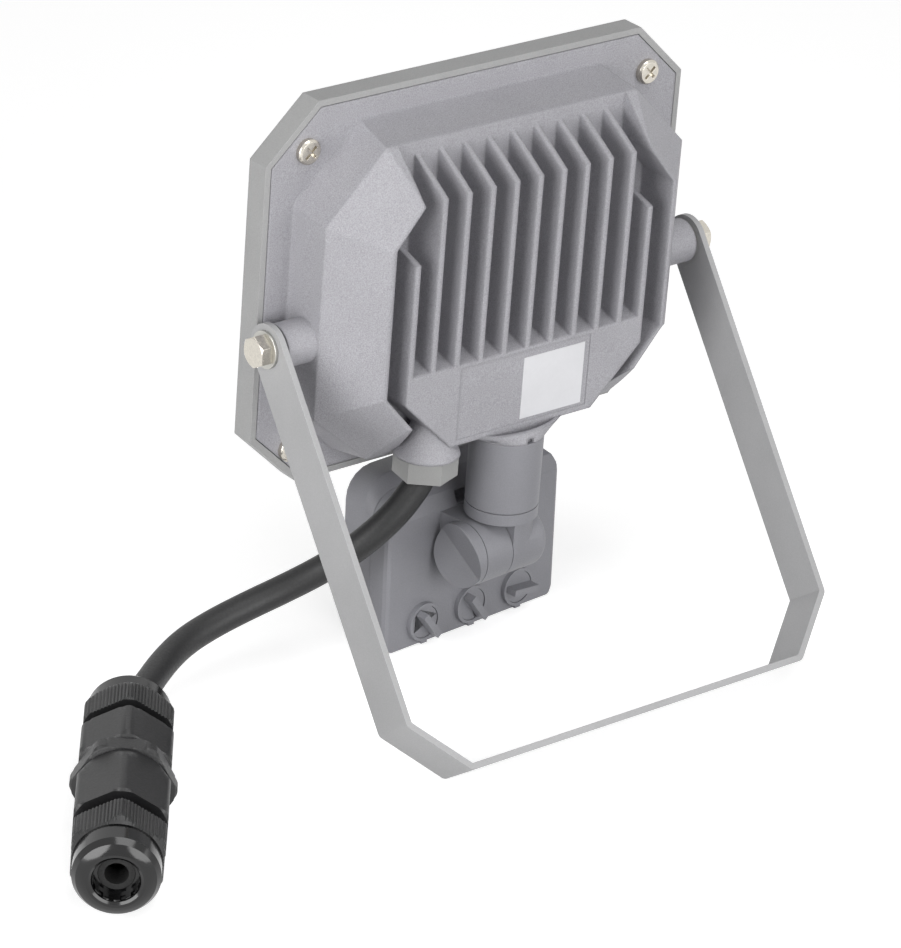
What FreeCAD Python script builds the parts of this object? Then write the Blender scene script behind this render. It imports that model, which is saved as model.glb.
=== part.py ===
import FreeCAD, Part
import math
import os
import Sketcher

# A 10 W class floodlight with a passive infrared sensor head under it, a swing bracket and a short
# lead with a two-part cable connector.
#
# Four frames are used, in millimetres:
# table frame: +Z up, the light stands on Z = 0 on its bracket bar, its sensor and its connector
# head frame: origin on the back plane of the flange, +X to one pivot, +Y out of the fins, +Z up
# yoke and sensor frames: origin in the middle of the knuckle barrel, +X along the barrel
# bracket frame: origin between the pivots, arms run down -Z, strip width along Y

doc = FreeCAD.newDocument("sensor_light")
sheet = doc.addObject("Spreadsheet::Sheet", "dims")

SIZES = {
    # stance
    "head_lean": 2.2,
    "sensor_pan_set": 4.7,
    "sensor_nod_set": 2.4,
    # flange and front frame
    "flange_half_width": 70.0,
    "flange_half_height": 53.5,
    "flange_cut_width": 15.3,
    "flange_cut_height": 14.4,
    "flange_thick": 2.4,
    "rim_gap": 0.2,
    "rim_wall": 1.8,
    "gasket_thick": 0.6,
    "glass_thick": 3.0,
    "glass_seal": 0.4,
    "lip_thick": 1.6,
    "glass_inset": 4.0,
    "glass_corner": 24.0,
    "glass_gap": 0.3,
    "window_inset": 9.5,
    "window_corner": 17.0,
    "screw_side_inset": 11.3,
    "screw_top_inset": 11.4,
    "screw_low_inset": 8.9,
    "screw_radius": 1.5,
    "screw_head_radius": 3.6,
    "screw_head_high": 1.9,
    # rear housing
    "base_side_inset": 7.5,
    "base_top_inset": 6.0,
    "base_low_inset": 5.3,
    "base_cut_width": 21.0,
    "base_cut_height": 20.5,
    "base_low_cut_width": 18.4,
    "base_low_cut_height": 17.6,
    "tier_depth": 13.9,
    "tier_side_draft": 0.6,
    "tier_top_draft": 2.8,
    "tier_low_draft": 2.0,
    "tier_cut_width": 18.8,
    "tier_cut_height": 18.9,
    "tier_low_cut_width": 19.2,
    "tier_low_cut_height": 16.4,
    "back_depth": 27.0,
    "back_side_inset": 12.8,
    "back_top_inset": 12.9,
    "back_low_inset": 4.7,
    "back_cut_width": 9.9,
    "back_cut_height": 10.6,
    "back_low_cut_width": 16.4,
    "back_low_cut_height": 19.5,
    "cheek_rim": 1.2,
    "cheek_rise": 8.5,
    "fin_pitch": 8.15,
    "fin_count": 9,
    "fin_thick": 1.8,
    "fin_tip_rise": 1.0,
    "fin_root_inset": 3.2,
    "short_fin_top": 15.3,
    "short_fin_root": 19.5,
    "fascia_high": 24.0,
    "slot_slope": 3.4,
    "fascia_side_inset": 7.9,
    "fascia_foot_high": 16.0,
    "fascia_half_foot": 24.7,
    "housing_wall": 2.5,
    "pivot_back": 7.6,
    "pivot_low": 8.6,
    "panel_half_width": 22.7,
    "panel_edge": 1.6,
    "panel_deep": 0.25,
    "boss_radius": 6.2,
    "boss_proud": 1.4,
    # neck and gland under the housing
    "neck_back": 21.5,
    "neck_radius": 10.25,
    "collar_drop": 3.1,
    "collar_high": 3.4,
    "collar_half_width": 17.4,
    "collar_half_deep": 9.7,
    "collar_lip": 1.3,
    "collar_groove": 2.2,
    "sleeve_long": 21.0,
    "sleeve_bore": 8.0,
    "sleeve_shelf": 3.0,
    "stem_radius": 5.4,
    "wire_bore": 3.2,
    "ring_high": 3.5,
    "turn_gap": 0.1,
    "gland_side": 27.1,
    "gland_back": 20.0,
    "gland_drop": 3.6,
    "gland_flare": 9.3,
    "gland_stub_radius": 6.4,
    "gland_stub_long": 4.6,
    "gland_nut_flats": 15.6,
    "gland_nut_high": 6.1,
    "gland_nut_gap": 0.3,
    # knuckle and lock knob
    "barrel_radius": 9.2,
    "barrel_drop": 0.4,
    "barrel_right": 10.8,
    "barrel_seam": 3.0,
    "barrel_left": 12.6,
    "knob_thick": 3.7,
    "knob_dish": 2.3,
    "lock_screw_radius": 2.5,
    "face_gap": 0.2,
    # sensor head
    "sensor_half_width": 32.8,
    "sensor_shift": 0.7,
    "sensor_back": 10.3,
    "sensor_low": 29.5,
    "sensor_seam_rise": 0.55,
    "sensor_front_rise": 1.9,
    "sensor_crease": 9.1,
    "sensor_bevel_deep": 2.0,
    "sensor_bevel_top": 13.5,
    "sensor_seam_top": 17.0,
    "sensor_back_deep": 6.8,
    "sensor_front_deep": 13.9,
    "sensor_front_top": 19.5,
    "sensor_wall": 1.8,
    "sensor_rim_inset": 1.5,
    "sensor_corner": 9.0,
    "sensor_foot_corner": 3.0,
    "adjuster_pitch": 18.1,
    "adjuster_rise": 6.7,
    "adjuster_ring": 5.65,
    "adjuster_bore": 4.8,
    "adjuster_proud": 1.5,
    "adjuster_radius": 4.7,
    "adjuster_blade_long": 9.2,
    "adjuster_blade_thick": 1.9,
    "adjuster_blade_high": 3.6,
    "lens_radius": 19.0,
    "lens_dome": 13.0,
    "lens_low": 5.0,
    "lens_wall": 1.0,
    # bracket
    "boss_washer_thick": 1.0,
    "strip_width": 14.0,
    "strip_thick": 1.8,
    "arm_reach": 106.2,
    "bar_reach": 122.3,
    "bar_side_inset": 15.55,
    "bend_radius": 2.5,
    "pivot_hole": 2.6,
    "bar_hole": 4.25,
    "bar_bolt_hole": 2.75,
    "bar_bolt_half_span": 30.0,
    "bolt_radius": 2.5,
    "bolt_flats": 8.0,
    "bolt_head_high": 3.6,
    "washer_radius": 5.25,
    "washer_thick": 0.9,
    # cable and connector
    "cable_radius": 4.0,
    "cable_gap": 0.1,
    "connector_flats": 24.0,
    "connector_hole": 4.7,
    "dome_radius": 11.3,
    "nut_rib_long": 10.2,
    "dome_long": 7.9,
    "front_dome_long": 8.7,
    "front_throat": 6.0,
    "throat_deep": 3.9,
    "flange_flats": 25.0,
    "thread_radius": 9.3,
    "thread_show": 3.8,
    "rear_body_long": 14.9,
    "mid_flange_long": 5.6,
    "front_body_long": 21.2,
    # board, label and driver inside and on the housing
    "led_board_half_width": 29.0,
    "led_board_inset": 24.2,
    "led_screw_inset": 2.7,
    "driver_board_rise": 8.7,
    "driver_board_high": 13.5,
    "sticker_side": 20.9,
    "sticker_wide": 21.5,
    "sticker_high": 18.3,
    "sticker_rise": 2.55,
}

# sizes that follow from the ones above
FOLLOWING = {
    "screw_half_span": "flange_half_width - screw_side_inset",
    "screw_top": "flange_half_height - screw_top_inset",
    "screw_low": "flange_half_height - screw_low_inset",
    "base_half_width": "flange_half_width - base_side_inset",
    "base_top": "flange_half_height - base_top_inset",
    "base_low": "flange_half_height - base_low_inset",
    "tier_half_width": "base_half_width - tier_side_draft",
    "tier_top": "base_top - tier_top_draft",
    "tier_low": "base_low - tier_low_draft",
    "back_half_width": "tier_half_width - back_side_inset",
    "back_top": "tier_top - back_top_inset",
    "back_low": "tier_low - back_low_inset",
    "cheek_low": "back_low - cheek_rise",
    "fin_top": "back_top + fin_tip_rise",
    "fin_root_top": "tier_top - fin_root_inset",
    "slot_low": "back_low - fascia_high",
    "fascia_shoulder": "back_low - fascia_foot_high",
    "fascia_half_width": "back_half_width - fascia_side_inset",
    "collar_low": "back_low + collar_drop",
    "gland_seat": "back_low + gland_drop",
    "boss_reach": "flange_half_width + boss_proud",
    "arm_outer": "boss_reach + boss_washer_thick + strip_thick + 0.05",
    "bar_half": "arm_outer - bar_side_inset",
    "sensor_seam_low": "sensor_low - sensor_seam_rise",
    "sensor_front_low": "sensor_low - sensor_front_rise",
    "sensor_bevel_out": "sensor_back + sensor_bevel_deep",
    "sensor_seam": "sensor_back + sensor_back_deep",
    "sensor_front": "sensor_seam + sensor_front_deep",
    "adjuster_low": "sensor_low - adjuster_rise",
    "led_board_half_height": "tier_low - led_board_inset",
    "driver_board_low": "tier_low - driver_board_rise",
}


class Size:
    """A number together with the sheet formula that gives it."""

    def __init__(self, number, formula):
        self.number = float(number)
        self.formula = formula

    def __add__(self, other):
        other = as_size(other)
        return Size(self.number + other.number, "(%s + %s)" % (self.formula, other.formula))

    def __sub__(self, other):
        other = as_size(other)
        return Size(self.number - other.number, "(%s - %s)" % (self.formula, other.formula))

    def __mul__(self, other):
        other = as_size(other)
        return Size(self.number * other.number, "(%s * %s)" % (self.formula, other.formula))

    def __truediv__(self, other):
        other = as_size(other)
        return Size(self.number / other.number, "(%s / %s)" % (self.formula, other.formula))

    def __neg__(self):
        return Size(-self.number, "(0 - %s)" % self.formula)

    def __radd__(self, other):
        return as_size(other) + self

    def __rsub__(self, other):
        return as_size(other) - self

    def __rmul__(self, other):
        return as_size(other) * self

    def __float__(self):
        return self.number


def as_size(value):
    if isinstance(value, Size):
        return value
    return Size(value, "%.6f" % value if value >= 0 else "(0 - %.6f)" % -value)


def fill_sheet():
    for row, (name, number) in enumerate(SIZES.items(), start=1):
        sheet.set("A%d" % row, name)
        sheet.set("B%d" % row, str(number))
        sheet.setAlias("B%d" % row, name)
    for row, (name, formula) in enumerate(FOLLOWING.items(), start=len(SIZES) + 1):
        sheet.set("A%d" % row, name)
        sheet.set("B%d" % row, "=" + formula)
        sheet.setAlias("B%d" % row, name)
    doc.recompute()


def dim(name):
    return Size(sheet.get(name), "dims." + name)


fill_sheet()


class Piece:
    """One sub-part made as a body of sketched features."""

    # which way each origin plane's normal runs along its own axis
    NORMALS = {"XY": 1, "XZ": -1, "YZ": 1}

    def __init__(self, label):
        self.body = doc.addObject("PartDesign::Body", label)
        self.body.Label = label
        self.count = 0

    def add(self, kind, note):
        """Adds a feature to the body, named after it and numbered."""
        self.count += 1
        return self.body.newObject(kind, "%s_%s%d" % (self.body.Name, note, self.count))

    def sketch(self, plane, level, loops):
        made = self.add("Sketcher::SketchObject", "sketch")
        role = plane + "_Plane"
        support = [item for item in self.body.Origin.OriginFeatures if item.Role == role][0]
        made.AttachmentSupport = [(support, "")]
        made.MapMode = "FlatFace"
        shift = as_size(level) * self.NORMALS[plane]
        made.AttachmentOffset = FreeCAD.Placement(vector(0, 0, shift.number), FreeCAD.Rotation())
        made.setExpression("AttachmentOffset.Base.z", shift.formula)
        for loop in loops:
            if loop[0] == "circle":
                draw_circle(made, *loop[1:])
            elif loop[0] == "oval":
                draw_oval(made, *loop[1:])
            else:
                draw_polygon(made, loop[1])
        return made

    def feature(self, kind, made, length):
        result = self.add("PartDesign::" + kind, kind)
        result.Profile = made
        result.Length = as_size(length).number
        result.setExpression("Length", as_size(length).formula)
        made.Visibility = False
        return result

    def pad(self, plane, low, high, *loops):
        """Adds the loops between two levels along the plane's axis."""
        low, high = as_size(low), as_size(high)
        start = low if self.NORMALS[plane] > 0 else high
        return self.feature("Pad", self.sketch(plane, start, loops), high - low)

    def cut(self, plane, low, high, *loops):
        """Removes the loops between two levels along the plane's axis."""
        low, high = as_size(low), as_size(high)
        start = high if self.NORMALS[plane] > 0 else low
        return self.feature("Pocket", self.sketch(plane, start, loops), high - low)

    def revolve(self, plane, axis, profile, kind="Revolution"):
        made = self.sketch(plane, 0, [("polygon", profile)])
        result = self.add("PartDesign::" + kind, "turn")
        result.Profile = made
        result.ReferenceAxis = (made, [axis])
        result.Angle = 360
        made.Visibility = False
        return result

    def loft(self, plane, sections):
        """Joins outlines at rising levels with straight walls."""
        made = [self.sketch(plane, level, [("polygon", points)]) for level, points in sections]
        result = self.add("PartDesign::AdditiveLoft", "loft")
        result.Profile = made[0]
        result.Sections = made[1:]
        result.Ruled = True
        return result

    def blend(self, plane, sections):
        """Joins round outlines at rising levels."""
        made = [self.sketch(plane, level, [loop]) for level, loop in sections]
        result = self.add("PartDesign::AdditiveLoft", "blend")
        result.Profile = made[0]
        result.Sections = made[1:]
        return result

    def hollow_loft(self, plane, sections):
        """Removes what lies between two outlines at different levels."""
        made = [self.sketch(plane, level, [("polygon", points)]) for level, points in sections]
        result = self.add("PartDesign::SubtractiveLoft", "hollow")
        result.Profile = made[0]
        result.Sections = made[1:]
        result.Ruled = True
        return result

    def primitive(self, kind, sizes, across, back, up):
        """Adds or removes a cylinder or cone that stands on a level, upright."""
        result = self.add("PartDesign::" + kind, kind)
        for prop, size in sizes.items():
            result.setExpression(prop, as_size(size).formula)
        support = [item for item in self.body.Origin.OriginFeatures if item.Role == "XY_Plane"][0]
        result.AttachmentSupport = [(support, "")]
        result.MapMode = "FlatFace"
        for axis, size in zip("xyz", (across, back, up)):
            result.setExpression("AttachmentOffset.Base." + axis, as_size(size).formula)
        return result

    def row(self, feature, axis, length, count):
        pattern = self.add("PartDesign::LinearPattern", "row")
        pattern.Originals = [feature]
        line = [item for item in self.body.Origin.OriginFeatures if item.Role == axis + "_Axis"][0]
        pattern.Direction = (line, [""])
        pattern.Length = length.number
        pattern.setExpression("Length", length.formula)
        pattern.Occurrences = int(count.number)
        pattern.setExpression("Occurrences", count.formula)
        self.body.Tip = pattern
        return pattern

    def soften(self, kind, size, wanted):
        """Rounds or bevels the edges that the test function picks."""
        doc.recompute()
        edges = enumerate(self.body.Tip.Shape.Edges, start=1)
        names = ["Edge%d" % place for place, edge in edges if wanted(edge)]
        if not names:
            raise RuntimeError("%s: no edge to soften" % self.body.Label)
        base = self.body.Tip
        result = self.add("PartDesign::" + kind, kind)
        result.Base = (base, names)
        prop = "Radius" if kind == "Fillet" else "Size"
        setattr(result, prop, as_size(size).number)
        result.setExpression(prop, as_size(size).formula)
        return result

    def finish(self, placement):
        self.body.Placement = placement
        parts.append(self.body)
        return self.body


def draw_polygon(made, points):
    points = [(as_size(across), as_size(up)) for across, up in points]
    first = made.GeometryCount
    total = len(points)
    for place in range(total):
        start, end = points[place], points[(place + 1) % total]
        line = Part.LineSegment(FreeCAD.Vector(start[0].number, start[1].number, 0),
                                FreeCAD.Vector(end[0].number, end[1].number, 0))
        made.addGeometry(line, False)
    rules = []
    for place in range(total):
        after = first + (place + 1) % total
        rules.append(Sketcher.Constraint("Coincident", first + place, 2, after, 1))
    made.addConstraint(rules)
    for place, point in enumerate(points):
        for kind, size in zip(("DistanceX", "DistanceY"), point):
            index = made.addConstraint(Sketcher.Constraint(kind, -1, 1, first + place, 1, size.number))
            made.setExpression("Constraints[%d]" % index, size.formula)


def draw_circle(made, across, up, radius):
    across, up, radius = as_size(across), as_size(up), as_size(radius)
    centre = FreeCAD.Vector(across.number, up.number, 0)
    place = made.addGeometry(Part.Circle(centre, FreeCAD.Vector(0, 0, 1), radius.number), False)
    for kind, size in (("DistanceX", across), ("DistanceY", up)):
        index = made.addConstraint(Sketcher.Constraint(kind, -1, 1, place, 3, size.number))
        made.setExpression("Constraints[%d]" % index, size.formula)
    index = made.addConstraint(Sketcher.Constraint("Radius", place, radius.number))
    made.setExpression("Constraints[%d]" % index, radius.formula)


def draw_oval(made, across, up, half_width, half_high):
    """An ellipse that is wider than it is high."""
    across, up = as_size(across), as_size(up)
    half_width, half_high = as_size(half_width), as_size(half_high)
    centre = FreeCAD.Vector(across.number, up.number, 0)
    made.addGeometry(Part.Ellipse(centre, half_width.number, half_high.number), False)


parts = []

THREAD_GAP = 0.05
SEAM_GAP = 0.05
REFLECTOR_GAP = 0.05
LED_BOARD_THICK = 1.6
LED_SCREWS = [(side * (dim("led_board_half_width") - dim("led_screw_inset")),
               end * (dim("led_board_half_height") - dim("led_screw_inset")))
              for side in (-1, 1) for end in (-1, 1)]
CORE_BORE = 2.5
GLAND_TURN = 19.7
CONNECTOR_ROUND = 1.2
ADJUSTERS = ("lux_adjuster", "time_adjuster", "range_adjuster")
ADJUSTER_PLACES = (1, 0, -1)
ADJUSTER_TURNS = (-52.8, -52.8, -5.0)
KNOB_TURN = -34.2


def along(edge, axis):
    """True for an edge that runs along one axis only."""
    box = edge.BoundBox
    spans = {"x": box.XLength, "y": box.YLength, "z": box.ZLength}
    return spans.pop(axis) > 0.01 and max(spans.values()) < 0.01


def on_level(edge, axis, level):
    box = edge.BoundBox
    low, high = {"x": (box.XMin, box.XMax), "y": (box.YMin, box.YMax), "z": (box.ZMin, box.ZMax)}[axis]
    return abs(low - float(level)) < 0.01 and abs(high - float(level)) < 0.01


def mirrored(half):
    """Closes a right-hand half outline with its mirror image in the sketch's upright axis."""
    return list(half) + [(-as_size(across), up) for across, up in reversed(half)]


def octagon(half_width, top, low, cut_width, cut_height, low_cut_width=None, low_cut_height=None):
    low_cut_width = low_cut_width or cut_width
    low_cut_height = low_cut_height or cut_height
    return mirrored([
        (half_width - low_cut_width, -low),
        (half_width, -(low - low_cut_height)),
        (half_width, top - cut_height),
        (half_width - cut_width, top),
    ])


# a slanted corner moves out by this share of an offset along each leg
CORNER_SHARE = 0.586


def frame_outline(grow):
    """The flange's outline, moved out by an offset."""
    half_width = dim("flange_half_width") + grow
    half_height = dim("flange_half_height") + grow
    cut_width = dim("flange_cut_width") + CORNER_SHARE * grow
    cut_height = dim("flange_cut_height") + CORNER_SHARE * grow
    return octagon(half_width, half_height, half_height, cut_width, cut_height)


def glass_outline(grow):
    """The glass nest's outline: its corners stand back from the cover screws."""
    half_width = dim("flange_half_width") - dim("glass_inset") + grow
    half_height = dim("flange_half_height") - dim("glass_inset") + grow
    corner = dim("glass_corner") + CORNER_SHARE * grow
    return octagon(half_width, half_height, half_height, corner, corner)


def window_outline():
    half_width = dim("flange_half_width") - dim("window_inset")
    half_height = dim("flange_half_height") - dim("window_inset")
    return octagon(half_width, half_height, half_height, dim("window_corner"), dim("window_corner"))


def polygon_loop(points):
    return ("polygon", points)


def box_loop(left, low, right, high):
    return polygon_loop([(left, low), (right, low), (right, high), (left, high)])


def hexagon(centre_across, centre_up, flats, first_corner=0):
    """A hexagon by its size over the flats; 0 puts a flat at the top, 30 a corner."""
    corner = flats / math.sqrt(3)
    points = []
    for step in range(6):
        angle = math.radians(60 * step + first_corner)
        points.append((centre_across + corner * math.cos(angle), centre_up + corner * math.sin(angle)))
    return points


# levels along Y in the head frame, from the flange forwards
flange_front = -dim("flange_thick")
ledge = flange_front - dim("gasket_thick")
glass_front = ledge - dim("glass_thick")
lip_back = glass_front - dim("glass_seal")
frame_front = lip_back - dim("lip_thick")
cavity_back = dim("tier_depth") - dim("housing_wall")

SCREWS = [(side * dim("screw_half_span"), level)
          for side in (1, -1) for level in (dim("screw_top"), -dim("screw_low"))]


def make_front_bezel():
    piece = Piece("front_bezel")
    piece.pad("XZ", frame_front, 0, polygon_loop(frame_outline(dim("rim_gap") + dim("rim_wall"))))
    piece.soften("Fillet", 1.4, lambda edge: on_level(edge, "y", frame_front))
    piece.cut("XZ", ledge, 1, polygon_loop(frame_outline(dim("rim_gap"))))
    piece.cut("XZ", lip_back, ledge, polygon_loop(glass_outline(0)))
    piece.cut("XZ", frame_front - 1, lip_back, polygon_loop(window_outline()))
    holes = [("circle", across, up, dim("screw_radius") + THREAD_GAP) for across, up in SCREWS]
    piece.cut("XZ", frame_front + dim("lip_thick"), ledge, *holes)
    return piece.finish(head_place)


def make_front_glass():
    piece = Piece("front_glass")
    piece.pad("XZ", glass_front, ledge, polygon_loop(glass_outline(-dim("glass_gap"))))
    return piece.finish(head_place)


def make_glass_seal():
    piece = Piece("glass_seal")
    outline = polygon_loop(glass_outline(-dim("glass_gap")))
    piece.pad("XZ", lip_back, glass_front, outline, polygon_loop(window_outline()))
    return piece.finish(head_place)


def make_housing_gasket():
    piece = Piece("housing_gasket")
    inner = glass_outline(-1.5)
    piece.pad("XZ", ledge, flange_front, polygon_loop(frame_outline(-0.2)), polygon_loop(inner))
    holes = [("circle", across, up, dim("screw_radius") + 0.3) for across, up in SCREWS]
    piece.cut("XZ", ledge - 1, flange_front + 1, *holes)
    return piece.finish(head_place)


def rectangle(half_width, half_height):
    return [(-half_width, -half_height), (half_width, -half_height),
            (half_width, half_height), (-half_width, half_height)]


def make_reflector():
    """A white tray that flares from the chips to the glass."""
    piece = Piece("reflector")
    front = ledge + REFLECTOR_GAP
    back = cavity_back - LED_BOARD_THICK - REFLECTOR_GAP
    wall = 0.9
    half_width = dim("flange_half_width") - 13.5
    half_height = dim("flange_half_height") - 14.5

    def sections(grow):
        tall = half_height + grow
        mouth = octagon(half_width + grow, tall, tall, as_size(20), as_size(20))
        high = dim("led_board_half_height") - 5 + grow
        throat = octagon(dim("led_board_half_width") - 5 + grow, high, high, as_size(5), as_size(5))
        return [(front, mouth), (back, throat)]

    piece.loft("XZ", sections(wall))
    piece.hollow_loft("XZ", sections(0))
    return piece.finish(head_place)


def make_led_board():
    piece = Piece("led_board")
    outline = rectangle(dim("led_board_half_width"), dim("led_board_half_height"))
    piece.pad("XZ", cavity_back - LED_BOARD_THICK, cavity_back, polygon_loop(outline))
    holes = [("circle", across, up, 1.7) for across, up in LED_SCREWS]
    piece.cut("XZ", cavity_back - LED_BOARD_THICK - 1, cavity_back + 1, *holes)
    return piece.finish(head_place)


def group(label, shapes, placement):
    """Several like solids that share one sub-part."""
    made = doc.addObject("Part::Feature", label)
    made.Label = label
    made.Shape = Part.makeCompound(shapes)
    made.Placement = placement
    parts.append(made)
    return made


def vector(across, back, up):
    return FreeCAD.Vector(float(across), float(back), float(up))


def make_led_chips():
    level = float(cavity_back) - LED_BOARD_THICK - 0.8
    chips = []
    for column in range(6):
        for rank in range(4):
            corner = vector((column - 2.5) * 6.6 - 1.5, level, (rank - 1.5) * 6.6 - 1.5)
            chips.append(Part.makeBox(3.0, 0.8, 3.0, corner))
    return group("led_chips", chips, head_place)


def pan_head_screw(place, reach, radius, head_radius, head_high, direction):
    """A cross-recess screw: its head's underside at place, its shank along direction."""
    shank = Part.makeCylinder(radius, reach, place, direction)
    head = Part.makeCylinder(head_radius, head_high, place, -direction)
    bevel = Part.makeCone(head_radius - 0.6 + head_high, head_radius - 0.6, head_high, place, -direction)
    head = head.common(bevel)
    for turn in (0, 90):
        slot = Part.makeBox(head_radius * 1.2, 0.9, 1.1, vector(-head_radius * 0.6, -0.45, -0.1))
        slot.rotate(vector(0, 0, 0), vector(0, 0, 1), turn + 45)
        front = FreeCAD.Placement(place - direction * head_high, FreeCAD.Rotation(UP, direction))
        slot.Placement = front.multiply(slot.Placement)
        head = head.cut(slot)
    return head.fuse(shank)


def make_led_screws():
    made = []
    for across, up in LED_SCREWS:
        place = vector(across, float(cavity_back) - LED_BOARD_THICK, up)
        shank = Part.makeCylinder(1.5, LED_BOARD_THICK + 2.0, place, vector(0, 1, 0))
        made.append(shank.fuse(Part.makeCylinder(2.4, 1.4, place, vector(0, -1, 0))))
    return group("led_screws", made, head_place)


def make_cover_screws():
    made = []
    reach = float(dim("flange_thick") + dim("gasket_thick")) + 3.0
    for across, up in SCREWS:
        made.append(pan_head_screw(vector(across, 0, up), reach, float(dim("screw_radius")),
                                   float(dim("screw_head_radius")), float(dim("screw_head_high")),
                                   vector(0, -1, 0)))
    return group("cover_screws", made, head_place)


def sink_outline():
    """The open heat-sink pocket, seen from behind: between the cheeks, round the fascia's corners."""
    rim = dim("back_half_width") - dim("cheek_rim")
    top_turn = dim("back_top") - dim("back_cut_height")
    foot_turn = -(dim("back_low") - dim("back_low_cut_height"))
    below = dim("tier_low") + 2
    tip_across = dim("back_half_width") - dim("back_cut_width")
    return mirrored([
        (dim("fascia_half_width"), -dim("slot_low")),
        (dim("fascia_half_width"), -dim("fascia_shoulder")),
        (dim("fascia_half_foot"), -dim("back_low")),
        (dim("fascia_half_foot") + 2.3, -below),
        (tip_across - 6.3, -below),
        (tip_across - 2.5, foot_turn - 15),
        (tip_across - 0.7, foot_turn - 10.7),
        (rim, foot_turn),
        (rim, top_turn),
        (tip_across, dim("back_top")),
        (tip_across, dim("base_top") + 5),
    ])


def cheek_underside(side):
    """What the sloping underside of one cheek takes off, as outlines on the tier and on the back."""
    out = side * dim("base_half_width")
    far = -dim("base_low") - 1
    inner = dim("fascia_half_foot") + 6.5
    sections = []
    for depth, start, level in ((dim("tier_depth"), inner + 0.5, -dim("tier_low")),
                                (dim("back_depth") + 0.05, inner + 5.0, -dim("cheek_low"))):
        sections.append((depth, [(side * start, level), (out, level), (out, far), (side * inner, far)]))
    return sections


def collar_groove():
    """The crescent between the fascia's foot and the lip of the collar."""
    wide = dim("collar_half_width") - dim("collar_lip")
    deep = dim("collar_half_deep") - dim("collar_lip")
    front = float(dim("back_depth")) + 0.05
    reach = math.acos((front - float(dim("neck_back"))) / float(deep))
    steps = [reach * (place / 4 - 1) for place in range(9)]
    return [(wide * math.sin(turn), dim("neck_back") + deep * math.cos(turn)) for turn in steps]


def fin_outline(root_top, tip_top):
    inside = dim("tier_depth") - 0.6
    return [(inside, root_top), (dim("back_depth"), tip_top),
            (dim("back_depth"), -dim("slot_low") - 0.3), (inside, -dim("slot_low") - 0.3)]


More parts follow.
